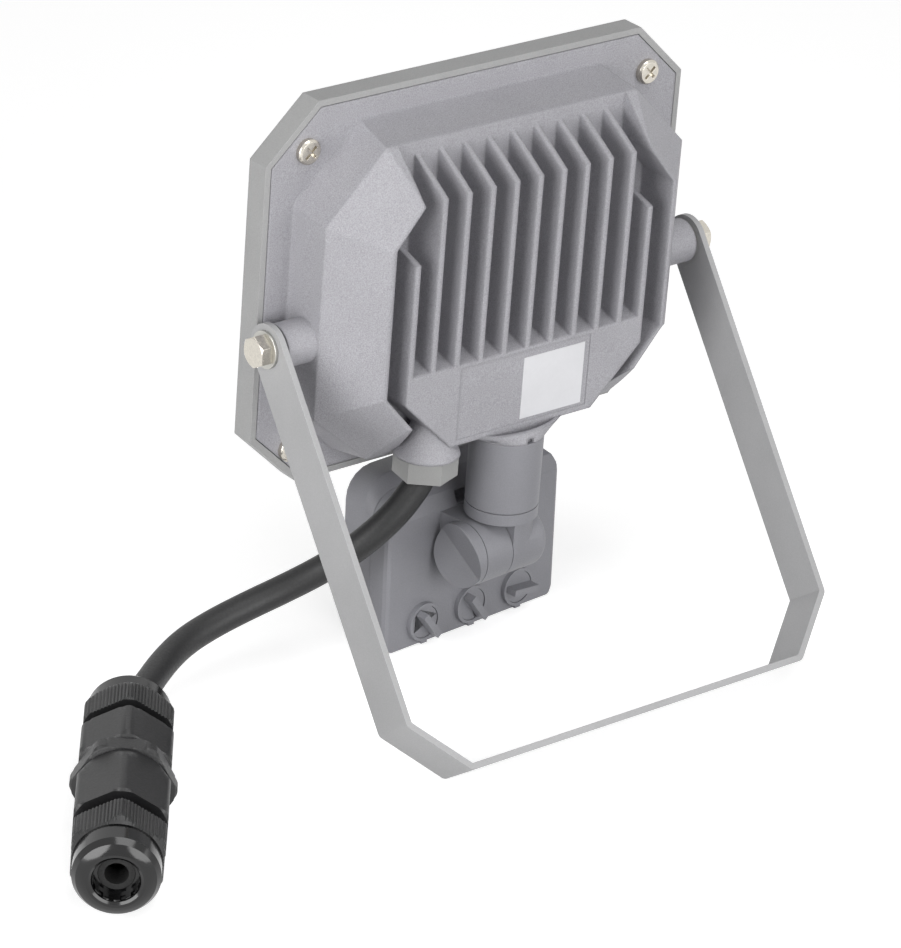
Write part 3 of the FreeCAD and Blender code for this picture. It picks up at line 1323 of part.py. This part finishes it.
head_place = FreeCAD.Placement(vector(0, 0, pivot_height) - lean.multVec(pivot), lean.Rotation)
neck_place = head_place.multiply(FreeCAD.Placement(knuckle, FreeCAD.Rotation()))
yoke_place = turned(neck_place, UP, float(dim("sensor_pan_set")))
sensor_place = turned(yoke_place, ACROSS, float(dim("sensor_nod_set")))
knob_place = turned(sensor_place, ACROSS, KNOB_TURN)
bracket_place = FreeCAD.Placement(vector(0, 0, pivot_height), FreeCAD.Rotation(ACROSS, bar_turn))

# the connector lies on the table on a corner of its hexagons
CONNECTOR_AXIS = vector(0.6102, 0.7923, 0)
connector_lift = float(dim("connector_flats")) / math.sqrt(3)
connector_place = FreeCAD.Placement(vector(123.76, 17.03, connector_lift),
                                    FreeCAD.Rotation(UP.cross(CONNECTOR_AXIS), UP, CONNECTOR_AXIS,
                                                     "ZYX"))

cable_start = -dim("gland_seat") + 0.4
CABLE_BENDS = [
    (30.8, 13.4, 51.4), (34.5, 12.8, 46.7), (39.7, 11.2, 41.1), (46.0, 8.5, 35.2), (53.3, 4.5, 29.2),
    (62.1, 0.9, 24.3), (71.8, -1.6, 20.6), (82.7, -2.5, 17.6), (93.3, -1.0, 15.6), (103.6, 3.8, 14.4),
    (115.1, 11.7, 13.9),
]


def cable_points():
    gland = (dim("gland_side"), dim("gland_back"))
    start = [head_place.multVec(vector(*gland, level)) for level in (cable_start, cable_start - 6.9)]
    end = [connector_place.multVec(vector(0, 0, level)) for level in (-1.0, 8.0)]
    return start + [vector(*bend) for bend in CABLE_BENDS] + end


def make_supply_cable():
    """A round tube on straight runs joined by tangent arcs."""
    points = cable_points()
    edges = []
    radii = []
    last = points[0]
    for before, corner, after in zip(points, points[1:], points[2:]):
        arriving = (corner - before).normalize()
        leaving = (after - corner).normalize()
        half_turn = arriving.getAngle(leaving) / 2
        reach = 0.45 * min((corner - before).Length, (after - corner).Length)
        radius = reach / math.tan(half_turn)
        radii.append(round(radius, 1))
        first = corner - arriving * reach
        final = corner + leaving * reach
        middle_way = (leaving - arriving).normalize()
        centre = corner + middle_way * (radius / math.cos(half_turn))
        middle = centre - middle_way * radius
        edges.append(Part.makeLine(last, first))
        edges.append(Part.Arc(first, middle, final).toShape())
        last = final
    edges.append(Part.makeLine(last, points[-1]))
    wire = Part.Wire(edges)
    way = (points[1] - points[0]).normalize()
    ring = Part.Wire([Part.makeCircle(float(dim("cable_radius")), points[0], way)])
    tube = wire.makePipeShell([ring], True, True)
    made = doc.addObject("Part::Feature", "supply_cable")
    made.Label = "supply_cable"
    made.Shape = tube
    made.Placement = FreeCAD.Placement()
    parts.append(made)
    wanted = math.pi * float(dim("cable_radius")) ** 2 * wire.Length
    print("cable radii", radii)
    print("cable volume %.1f against %.1f, length %.1f" % (tube.Volume, wanted, wire.Length))


CABLE_SIDE = ("supply_cable", "rear_cap_nut", "front_cap_nut", "connector_rear_body",
              "connector_front_body", "rear_seal", "front_seal", "connector_o_ring", "terminal_insert")


def centre_on_table():
    """Centres the light without its lead on the origin and stands it on Z = 0."""
    doc.recompute()
    box = FreeCAD.BoundBox()
    for part in parts:
        if part.Label not in CABLE_SIDE:
            box.add(part.Shape.optimalBoundingBox(False, False))
    for part in parts:
        place = part.Placement
        place.Base = place.Base - vector(0, box.Center.y, box.ZMin)
        part.Placement = place
    print("moved along Y by %.3f, lowest %.3f" % (-box.Center.y, box.ZMin))


def check_state():
    doc.recompute()
    for item in doc.Objects:
        if "Invalid" in item.State or "Error" in item.State:
            raise RuntimeError("%s: %s" % (item.Label, item.State))
    for part in parts:
        if part.Shape.isNull() or not part.Shape.isValid():
            raise RuntimeError("%s: bad shape" % part.Label)


def write_parts():
    os.makedirs("parts", exist_ok=True)
    for part in parts:
        part.Shape.exportStep("parts/%s.step" % part.Label)
    print("%d parts, pivot height %.3f, bracket turn %.3f" % (len(parts), pivot_height, bar_turn))


def build():
    make_front_bezel()
    make_front_glass()
    make_glass_seal()
    make_housing_gasket()
    make_reflector()
    make_led_board()
    make_led_chips()
    make_led_screws()
    make_rear_housing()
    make_cover_screws()
    make_blank_sticker()
    make_driver_board()
    make_driver_parts()
    make_gland_nut()
    make_gland_seal()
    make_neck_sleeve()
    make_swivel_knuckle()
    make_swivel_nut()
    make_lock_nut()
    make_lock_knob()
    make_sensor_back_shell()
    make_sensor_front_shell()
    make_sensor_lens()
    make_sensor_inside()
    for label, place, turn in zip(ADJUSTERS, ADJUSTER_PLACES, ADJUSTER_TURNS):
        make_adjuster(label, place, turn)
    make_mounting_bracket()
    make_pivot_hardware()
    make_connector()
    make_supply_cable()
    centre_on_table()
    check_state()
    write_parts()


build()
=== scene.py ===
import bpy
import bmesh
import math
from mathutils import Matrix, Vector


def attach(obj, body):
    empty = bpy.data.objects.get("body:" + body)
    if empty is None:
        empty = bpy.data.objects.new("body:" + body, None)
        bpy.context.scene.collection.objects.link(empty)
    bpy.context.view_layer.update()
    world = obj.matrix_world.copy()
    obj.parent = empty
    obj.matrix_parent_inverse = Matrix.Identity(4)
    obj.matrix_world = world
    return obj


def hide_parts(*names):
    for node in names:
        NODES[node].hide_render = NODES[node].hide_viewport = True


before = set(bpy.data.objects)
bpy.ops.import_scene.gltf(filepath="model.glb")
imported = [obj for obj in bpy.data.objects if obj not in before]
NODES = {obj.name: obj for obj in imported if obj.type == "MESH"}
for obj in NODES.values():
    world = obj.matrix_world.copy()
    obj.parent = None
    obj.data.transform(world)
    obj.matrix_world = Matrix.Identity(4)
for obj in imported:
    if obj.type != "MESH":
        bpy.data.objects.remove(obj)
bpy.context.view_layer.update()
MM = 0.001


# materials

def new_material(name):
    made = bpy.data.materials.new(name)
    made.use_nodes = True
    tree = made.node_tree
    tree.nodes.clear()
    out = tree.nodes.new("ShaderNodeOutputMaterial")
    shader = tree.nodes.new("ShaderNodeBsdfPrincipled")
    tree.links.new(shader.outputs["BSDF"], out.inputs["Surface"])
    return made, tree, shader


def noise(tree, scale, detail=2.0, rough=0.5):
    place = tree.nodes.new("ShaderNodeTexCoord")
    made = tree.nodes.new("ShaderNodeTexNoise")
    made.inputs["Scale"].default_value = scale
    made.inputs["Detail"].default_value = detail
    made.inputs["Roughness"].default_value = rough
    tree.links.new(place.outputs["Object"], made.inputs["Vector"])
    return made


def ramp(tree, source, stops):
    made = tree.nodes.new("ShaderNodeValToRGB")
    steps = made.color_ramp.elements
    while len(steps) < len(stops):
        steps.new(0.5)
    for step, (place, colour) in zip(steps, stops):
        step.position = place
        step.color = (*colour, 1.0)
    tree.links.new(source, made.inputs["Fac"])
    return made


def bump(tree, shader, sources, edge_round=0.0):
    """Chains bump nodes: each source is (socket, strength, distance). Edges may look rounded."""
    last = None
    if edge_round:
        last = tree.nodes.new("ShaderNodeBevel")
        last.samples = 6
        last.inputs["Radius"].default_value = edge_round * MM
    for socket, strength, distance in sources:
        made = tree.nodes.new("ShaderNodeBump")
        made.inputs["Strength"].default_value = strength
        made.inputs["Distance"].default_value = distance
        tree.links.new(socket, made.inputs["Height"])
        if last is not None:
            tree.links.new(last.outputs["Normal"], made.inputs["Normal"])
        last = made
    tree.links.new(last.outputs["Normal"], shader.inputs["Normal"])


def linear(colour):
    """A colour given in 0 to 255 as the screen shows it, as the shader wants it."""
    values = []
    for level in colour:
        level = level / 255
        values.append(level / 12.92 if level <= 0.04045 else ((level + 0.055) / 1.055) ** 2.4)
    return tuple(values)


def shade(colour, factor):
    return tuple(level * factor for level in colour)


def coated(name, colour, rough, grain, strength, speckle=0.12, edge_round=0.0):
    """Sprayed or moulded surface: a fine orange peel and a small speckle of lighter grains."""
    made, tree, shader = new_material(name)
    base = linear(colour)
    fine = noise(tree, grain, 3.0, 0.6)
    broad = noise(tree, 55.0, 2.0, 0.5)
    speck = ramp(tree, fine.outputs["Fac"], [(0.34, shade(base, 1 - speckle)), (0.52, base),
                                             (0.70, shade(base, 1 + speckle))])
    cloud = ramp(tree, broad.outputs["Fac"], [(0.35, (0.97, 0.97, 0.97)), (0.65, (1.03, 1.03, 1.03))])
    mix = tree.nodes.new("ShaderNodeMix")
    mix.data_type = "RGBA"
    mix.blend_type = "MULTIPLY"
    mix.inputs["Factor"].default_value = 1.0
    tree.links.new(speck.outputs["Color"], mix.inputs["A"])
    tree.links.new(cloud.outputs["Color"], mix.inputs["B"])
    tree.links.new(mix.outputs["Result"], shader.inputs["Base Color"])
    gloss = ramp(tree, fine.outputs["Fac"], [(0.3, (rough * 1.15,) * 3), (0.7, (rough * 0.88,) * 3)])
    tree.links.new(gloss.outputs["Color"], shader.inputs["Roughness"])
    bump(tree, shader, [(fine.outputs["Fac"], strength, 0.0002)], edge_round)
    return made


def metal(name, colour, rough, grain=900.0):
    made, tree, shader = new_material(name)
    base = linear(colour)
    scratch = noise(tree, grain, 4.0, 0.7)
    tone = ramp(tree, scratch.outputs["Fac"], [(0.3, shade(base, 0.9)), (0.7, shade(base, 1.05))])
    tree.links.new(tone.outputs["Color"], shader.inputs["Base Color"])
    gloss = ramp(tree, scratch.outputs["Fac"], [(0.3, (rough * 0.8,) * 3), (0.7, (rough * 1.25,) * 3)])
    tree.links.new(gloss.outputs["Color"], shader.inputs["Roughness"])
    shader.inputs["Metallic"].default_value = 1.0
    bump(tree, shader, [(scratch.outputs["Fac"], 0.08, 0.0001)])
    return made


def clear_glass(name):
    made, tree, shader = new_material(name)
    shader.inputs["Base Color"].default_value = (0.95, 0.98, 0.97, 1)
    smear = noise(tree, 60.0, 3.0, 0.6)
    gloss = ramp(tree, smear.outputs["Fac"], [(0.3, (0.02, 0.02, 0.02)), (0.8, (0.05, 0.05, 0.05))])
    tree.links.new(gloss.outputs["Color"], shader.inputs["Roughness"])
    shader.inputs["Transmission Weight"].default_value = 1.0
    shader.inputs["IOR"].default_value = 1.5
    return made


HOUSING = coated("housing_coat", (159, 158, 163), 0.50, 3000.0, 0.80, 0.20, 1.2)
BEZEL = coated("bezel_coat", (158, 158, 158), 0.48, 2600.0, 0.30, 0.06)
FRAME = coated("frame_coat", (166, 166, 167), 0.45, 3000.0, 0.22, 0.05)
SENSOR = coated("sensor_plastic", (129, 129, 134), 0.50, 3200.0, 0.30, 0.05)
NUT_COAT = coated("gland_nut_plastic", (153, 153, 152), 0.42, 2800.0, 0.15, 0.04)
MILKY = coated("milky_lens", (228, 228, 224), 0.38, 1500.0, 0.10, 0.03)
CABLE = coated("cable_jacket", (20, 20, 21), 0.48, 1400.0, 0.35, 0.25)
NYLON = coated("connector_nylon", (19, 19, 20), 0.40, 1900.0, 0.35, 0.20)
GLOSS_NYLON = coated("dome_nylon", (8, 8, 9), 0.14, 900.0, 0.04, 0.10)
RUBBER = coated("seal_rubber", (20, 20, 20), 0.7, 1500.0, 0.3, 0.2)
WHITE_FILM = coated("white_film", (212, 212, 215), 0.35, 700.0, 0.04, 0.01)
REFLECTOR = coated("reflector_white", (235, 235, 233), 0.30, 700.0, 0.06, 0.01)
BOARD_WHITE = coated("board_white", (222, 224, 220), 0.35, 700.0, 0.06, 0.02)
BOARD_GREEN = coated("board_green", (30, 82, 50), 0.35, 700.0, 0.10, 0.10)
PHOSPHOR = coated("phosphor", (226, 198, 60), 0.28, 900.0, 0.05, 0.05)
DARK_PARTS = coated("component_black", (34, 34, 36), 0.45, 900.0, 0.15, 0.15)
PALE_PLASTIC = coated("insert_plastic", (190, 188, 180), 0.45, 900.0, 0.15, 0.04)
NICKEL = metal("nickel", (205, 200, 190), 0.22)
ZINC = metal("zinc", (188, 187, 182), 0.34)
GLASS = clear_glass("front_glass_clear")

LOOKS = {
    "rear_housing": HOUSING, "front_bezel": BEZEL, "mounting_bracket": FRAME, "gland_nut": NUT_COAT,
    "neck_sleeve": SENSOR, "swivel_knuckle": SENSOR, "lock_knob": SENSOR, "sensor_back_shell": SENSOR,
    "sensor_front_shell": SENSOR, "lux_adjuster": SENSOR, "time_adjuster": SENSOR, "range_adjuster": SENSOR,
    "sensor_lens": MILKY, "front_glass": GLASS, "cover_screws": NICKEL, "pivot_bolts": NICKEL,
    "led_screws": NICKEL, "lock_nut": NICKEL, "head_washers": ZINC, "boss_washers": ZINC, "swivel_nut": ZINC,
    "infrared_eye": ZINC, "glass_seal": RUBBER, "housing_gasket": RUBBER, "gland_seal": RUBBER,
    "rear_seal": RUBBER, "front_seal": RUBBER, "connector_o_ring": RUBBER, "reflector": REFLECTOR,
    "led_board": BOARD_WHITE, "driver_board": BOARD_GREEN, "sensor_board": BOARD_GREEN, "led_chips": PHOSPHOR,
    "driver_parts": DARK_PARTS, "sensor_relay": DARK_PARTS, "adjuster_pots": DARK_PARTS,
    "blank_sticker": WHITE_FILM, "supply_cable": CABLE, "connector_rear_body": NYLON,
    "connector_front_body": NYLON, "rear_cap_nut": NYLON, "front_cap_nut": NYLON,
    "terminal_insert": PALE_PLASTIC,
}

# how wide each node's sharp edges are rounded, in millimetres
ROUNDED = {
    "front_bezel": 0.6, "mounting_bracket": 0.35, "gland_nut": 0.5, "neck_sleeve": 0.3,
    "swivel_knuckle": 0.4, "lock_knob": 0.35, "sensor_back_shell": 0.45, "sensor_front_shell": 0.45,
    "lux_adjuster": 0.3, "time_adjuster": 0.3, "range_adjuster": 0.3, "pivot_bolts": 0.2, "cover_screws": 0.12,
    "head_washers": 0.15, "boss_washers": 0.15,
}


def paint(piece, material):
    piece.data.materials.clear()
    piece.data.materials.append(material)


def round_edges(piece, width, segments=3):
    """Melts the flat triangles together, then rounds the sharp edges."""
    weld = piece.modifiers.new("weld", "WELD")
    weld.merge_threshold = 0.001 * MM
    flat = piece.modifiers.new("flat", "DECIMATE")
    flat.decimate_type = "DISSOLVE"
    flat.angle_limit = math.radians(0.6)
    made = piece.modifiers.new("round", "BEVEL")
    made.width = width * MM
    made.segments = segments
    made.limit_method = "ANGLE"
    made.angle_limit = math.radians(24)
    made.use_clamp_overlap = True
    made.harden_normals = False
    weight = piece.modifiers.new("normals", "WEIGHTED_NORMAL")
    weight.keep_sharp = False


for label, node in NODES.items():
    paint(node, LOOKS[label])
    if label in ROUNDED:
        round_edges(node, ROUNDED[label])



# the lead, on the same points as the model's route

Y_SHIFT = -0.02751
ROUTE = [
    (0.0271, 0.01370, 0.06399), (0.0271, 0.01396, 0.05710),
    (0.0308, 0.0134, 0.0514), (0.0345, 0.0128, 0.0467), (0.0397, 0.0112, 0.0411), (0.0460, 0.0085, 0.0352),
    (0.0533, 0.0045, 0.0292), (0.0621, 0.0009, 0.0243), (0.0718, -0.0016, 0.0206), (0.0827, -0.0025, 0.0176),
    (0.0933, -0.0010, 0.0156), (0.1036, 0.0038, 0.0144), (0.1151, 0.0117, 0.0139),
    (0.12315, 0.01624, 0.01386), (0.12864, 0.02337, 0.01386),
]


def make_cable(carried):
    curve = bpy.data.curves.new("supply_lead", "CURVE")
    curve.dimensions = "3D"
    line = curve.splines.new("NURBS")
    line.points.add(len(ROUTE) - 1)
    for point, (across, back, up) in zip(line.points, ROUTE):
        point.co = (across, back + Y_SHIFT, up, 1.0)
    line.order_u = 3
    line.use_endpoint_u = True
    line.resolution_u = 12
    curve.bevel_depth = 0.004
    curve.bevel_resolution = 8
    curve.use_fill_caps = True
    lead = bpy.data.objects.new("supply_lead", curve)
    bpy.context.scene.collection.objects.link(lead)
    lead.data.materials.append(CABLE)
    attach(lead, "head")
    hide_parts("supply_cable")
    return lead


# the connector, in millimetres along its axis from its cable end

CONNECTOR_START = Vector((0.12376, 0.01703 + Y_SHIFT, 0.013856))
CONNECTOR_AXIS = Vector((0.6102, 0.7923, 0)).normalized()
CONNECTOR_UP = Vector((0, 0, 1))
CONNECTOR_SIDE = CONNECTOR_AXIS.cross(CONNECTOR_UP)
RIBS_PER_FACE = 13
STEPS = 6 * RIBS_PER_FACE * 6
BODY_FLATS, NUT_FLATS, FLANGE_FLATS = 24.0, 23.5, 25.0
THREAD = 9.3


def hexagon_reach(angle, flats, corner, turn=0.0):
    """How far a hexagon with rounded corners reaches at an angle from a corner, in degrees."""
    from_corner = abs((angle - turn + 30) % 60 - 30)
    centre = (flats / 2 - corner) / math.cos(math.radians(30))
    meets = math.degrees(math.atan2(corner * 0.5, centre + corner * math.cos(math.radians(30))))
    if from_corner < meets:
        lean = math.radians(from_corner)
        return centre * math.cos(lean) + math.sqrt(corner ** 2 - (centre * math.sin(lean)) ** 2)
    return flats / 2 / math.cos(math.radians(30 - from_corner))


def rib_groove(angle, flats, deep):
    """The groove between two ribs of a cap nut's grip, at an angle from a corner."""
    across = flats / 2 * math.tan(math.radians((angle % 60) - 30))
    pitch = flats * math.tan(math.radians(30)) / RIBS_PER_FACE
    return deep * (0.5 + 0.5 * math.cos(2 * math.pi * across / pitch)) ** 2


def turned_piece(name, node, rows):
    """A closed mesh about the connector's axis: each row is a level and a reach for every angle."""
    built = bmesh.new()
    rings = []
    for level, reach in rows:
        ring = []
        for step in range(STEPS):
            angle = 360 * step / STEPS
            far = reach(angle) if callable(reach) else reach
            way = CONNECTOR_UP * math.cos(math.radians(angle)) + CONNECTOR_SIDE * math.sin(math.radians(angle))
            ring.append(built.verts.new(CONNECTOR_START + (CONNECTOR_AXIS * level + way * far) * MM))
        rings.append(ring)
    for first, second in zip(rings, rings[1:] + rings[:1]):
        for step in range(STEPS):
            after = (step + 1) % STEPS
            built.faces.new((first[step], first[after], second[after], second[step]))
    bmesh.ops.recalc_face_normals(built, faces=built.faces)
    mesh = bpy.data.meshes.new(name)
    built.to_mesh(mesh)
    built.free()
    mesh.set_sharp_from_angle(angle=math.radians(20))
    piece = bpy.data.objects.new(name, mesh)
    bpy.context.scene.collection.objects.link(piece)
    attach(piece, "head")
    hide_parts(node)
    return piece


def cap_nut_rows(grip_start, grip_end, bore, nose):
    """A ribbed hexagonal grip between two levels, then the nose's (level, reach) pairs."""
    out = 1 if grip_end > grip_start else -1

    def grip(cone):
        return lambda angle: min(hexagon_reach(angle, NUT_FLATS, 1.6)
                                 - rib_groove(angle, NUT_FLATS, 0.30), cone)

    rows = [(grip_start, bore), (grip_start, grip(12.6)), (grip_start + out * 0.5, grip(13.3))]
    for deep, cone in ((4.2, 13.9), (3.0, 13.5), (1.8, 12.9), (0.8, 12.2), (0.0, 11.6)):
        rows.append((grip_end - out * deep, grip(cone)))
    return rows + nose


def claw_wall(angle):
    """The mouth's inner wall, with the slots between the clamping claws."""
    return 6.55 if (angle * 13 / 360) % 1 < 0.42 else 6.0


def body_reach(cone, flats=BODY_FLATS, corner=2.2, turn=0.0):
    return lambda angle: min(hexagon_reach(angle, flats, corner, turn), cone)


def thread_rows(start, end, pitch=1.5):
    """A threaded neck from one level to another, as ridges round the axis."""
    rows = []
    count = round(abs(end - start) / pitch)
    step = (end - start) / count
    for turn in range(count):
        rows += [(start + step * (turn + 0.05), THREAD - 0.55), (start + step * (turn + 0.45), THREAD),
                 (start + step * (turn + 0.6), THREAD), (start + step * (turn + 0.95), THREAD - 0.55)]
    return rows


def make_connector():
    rear_nose = [(7.9, 11.25), (3.4, 11.25), (1.6, 10.3), (0.5, 8.9), (0.1, 7.6), (0.2, 5.6), (0.9, 4.75),
                 (3.9, 4.72), (8.4, 4.72), (8.6, 9.5)]
    rear_nut = turned_piece("rear_nut_ribbed", "rear_cap_nut", cap_nut_rows(18.1, 7.9, 9.5, rear_nose))
    front_nose = [(77.6, 11.3), (83.3, 11.3), (84.1, 10.8), (85.0, 10.2), (85.7, 9.2), (86.1, 8.3),
                  (86.28, 7.65), (86.15, 6.95), (85.7, 6.3), (85.2, 6.05), (85.15, claw_wall),
                  (83.4, claw_wall), (83.35, 6.0), (82.42, 6.0), (82.4, 4.75), (77.1, 4.75), (77.0, 9.5)]
    front_nut = turned_piece("front_nut_ribbed", "front_cap_nut",
                             cap_nut_rows(67.4, 77.6, 9.5, front_nose))
    rear_body = turned_piece("rear_body_hexagon", "connector_rear_body", (
        [(36.7, 7.0), (36.7, body_reach(11.6)), (36.1, body_reach(12.9)), (34.6, body_reach(14.2)),
         (24.2, body_reach(14.2)), (22.5, body_reach(13.5)), (21.9, body_reach(12.6)), (21.9, THREAD - 0.5)]
        + thread_rows(21.9, 10.4) + [(10.3, 7.0)]))
    flange = {"flats": FLANGE_FLATS, "corner": 3.4, "turn": 30.0}
    front_body = turned_piece("front_body_hexagon", "connector_front_body", (
        [(36.96, 8.6), (36.96, body_reach(12.3, **flange)), (37.6, body_reach(13.2, **flange)),
         (38.3, body_reach(14.4, **flange)), (41.4, body_reach(14.4, **flange)),
         (42.1, body_reach(13.3, **flange)), (42.4, body_reach(12.5, **flange)), (42.5, body_reach(12.05)),
         (43.6, body_reach(12.35)), (45.0, body_reach(12.85)), (46.6, body_reach(13.5)),
         (48.2, body_reach(14.2)), (62.2, body_reach(14.2)), (63.1, body_reach(13.4)),
         (63.6, body_reach(12.6)), (63.6, THREAD - 0.5)]
        + thread_rows(63.6, 75.3) + [(75.35, 7.0)]))
    for piece in (rear_body, front_body):
        piece.data.materials.append(NYLON)
    for piece in (rear_nut, front_nut):
        piece.data.materials.append(NYLON)
        piece.data.materials.append(GLOSS_NYLON)
        for face in piece.data.polygons:
            level = (face.center - CONNECTOR_START).dot(CONNECTOR_AXIS) / MM
            if level < 7.9 or level > 77.6:
                face.material_index = 1
    return [rear_nut, rear_body, front_body, front_nut]


make_cable(make_connector())


# stage

def make_plane(name, size, place, colour, turn=(0, 0, 0)):
    made = bpy.data.meshes.new(name)
    half = size / 2
    made.from_pydata([(-half, -half, 0), (half, -half, 0), (half, half, 0), (-half, half, 0)], [], [(0, 1, 2, 3)])
    plane = bpy.data.objects.new(name, made)
    plane.location = place
    plane.rotation_euler = turn
    bpy.context.scene.collection.objects.link(plane)
    material, tree, shader = new_material(name + "_paint")
    shader.inputs["Base Color"].default_value = (*colour, 1)
    shader.inputs["Roughness"].default_value = 0.9
    shader.inputs["Specular IOR Level"].default_value = 0.0
    made.materials.append(material)
    return plane, material


def sees_background(tree):
    """One where a ray comes from the camera, a glossy surface or glass, and nothing elsewhere."""
    path = tree.nodes.new("ShaderNodeLightPath")
    last = path.outputs["Is Camera Ray"]
    for kind in ("Is Glossy Ray", "Is Transmission Ray"):
        add = tree.nodes.new("ShaderNodeMath")
        add.operation = "ADD"
        add.use_clamp = True
        tree.links.new(last, add.inputs[0])
        tree.links.new(path.outputs[kind], add.inputs[1])
        last = add.outputs["Value"]
    return last


def white_to_camera(material):
    """Shows the floor as white under the object's shadow; other rays see its paint alone."""
    tree = material.node_tree
    out = [node for node in tree.nodes if node.type == "OUTPUT_MATERIAL"][0]
    shader = [node for node in tree.nodes if node.type == "BSDF_PRINCIPLED"][0]
    glow = tree.nodes.new("ShaderNodeEmission")
    glow.inputs["Color"].default_value = (1, 1, 1, 1)
    glow.inputs["Strength"].default_value = FLOOR_GLOW
    add = tree.nodes.new("ShaderNodeAddShader")
    mix = tree.nodes.new("ShaderNodeMixShader")
    tree.links.new(sees_background(tree), mix.inputs["Fac"])
    tree.links.new(shader.outputs["BSDF"], mix.inputs[1])
    tree.links.new(shader.outputs["BSDF"], add.inputs[0])
    tree.links.new(glow.outputs["Emission"], add.inputs[1])
    tree.links.new(add.outputs["Shader"], mix.inputs[2])
    tree.links.new(mix.outputs["Shader"], out.inputs["Surface"])


FLOOR_GLOW = 0.70
floor, floor_paint = make_plane("floor", 14, (0, 0, -0.0004), (0.62, 0.62, 0.62))
white_to_camera(floor_paint)


def make_world():
    world = bpy.data.worlds.new("studio")
    bpy.context.scene.world = world
    world.use_nodes = True
    tree = world.node_tree
    tree.nodes.clear()
    out = tree.nodes.new("ShaderNodeOutputWorld")
    soft = tree.nodes.new("ShaderNodeBackground")
    soft.inputs["Color"].default_value = (1, 1, 1, 1)
    soft.inputs["Strength"].default_value = 0.05
    plain = tree.nodes.new("ShaderNodeBackground")
    plain.inputs["Color"].default_value = (1, 1, 1, 1)
    plain.inputs["Strength"].default_value = 1.0
    mix = tree.nodes.new("ShaderNodeMixShader")
    tree.links.new(sees_background(tree), mix.inputs["Fac"])
    tree.links.new(soft.outputs["Background"], mix.inputs[1])
    tree.links.new(plain.outputs["Background"], mix.inputs[2])
    tree.links.new(mix.outputs["Shader"], out.inputs["Surface"])


make_world()

CAMERA_PLACE = Vector((0.8248, 0.90423, 0.69398))
CAMERA_RIGHT = Vector((-0.77897, 0.62009, 0.09325))
CAMERA_UP = Vector((-0.22538, -0.41564, 0.88116))
CAMERA_BACK = Vector((0.58515, 0.66539, 0.46352))


def make_camera():
    data = bpy.data.cameras.new("camera")
    data.lens = 5061.47 * 36 / 948
    data.sensor_width = 36
    data.clip_start = 0.05
    data.clip_end = 60
    camera = bpy.data.objects.new("camera", data)
    camera.matrix_world = Matrix((
        (CAMERA_RIGHT.x, CAMERA_UP.x, CAMERA_BACK.x, CAMERA_PLACE.x),
        (CAMERA_RIGHT.y, CAMERA_UP.y, CAMERA_BACK.y, CAMERA_PLACE.y),
        (CAMERA_RIGHT.z, CAMERA_UP.z, CAMERA_BACK.z, CAMERA_PLACE.z),
        (0, 0, 0, 1)))
    bpy.context.scene.collection.objects.link(camera)
    bpy.context.scene.camera = camera


make_camera()


def make_lamp(name, direction, distance, size, watts):
    """A soft square lamp in one direction from the object, aimed at it."""
    middle = Vector((0, 0, 0.07))
    way = Vector(direction).normalized()
    data = bpy.data.lights.new(name, "AREA")
    data.shape = "SQUARE"
    data.size = size
    data.energy = watts
    lamp = bpy.data.objects.new(name, data)
    lamp.location = middle + way * distance
    lamp.rotation_euler = way.to_track_quat("Z", "Y").to_euler()
    bpy.context.scene.collection.objects.link(lamp)


make_lamp("left", (0.95, 0.20, 0.24), 0.85, 0.55, 5.4)
make_lamp("right", (-0.45, 0.85, 0.27), 1.5, 0.9, 5.3)
make_lamp("above", (0.0, 0.20, 0.98), 1.3, 0.8, 6.6)
make_lamp("behind", (0.1, 0.95, 0.30), 1.5, 0.9, 11.0)

scene = bpy.context.scene
scene.view_settings.view_transform = "Standard"
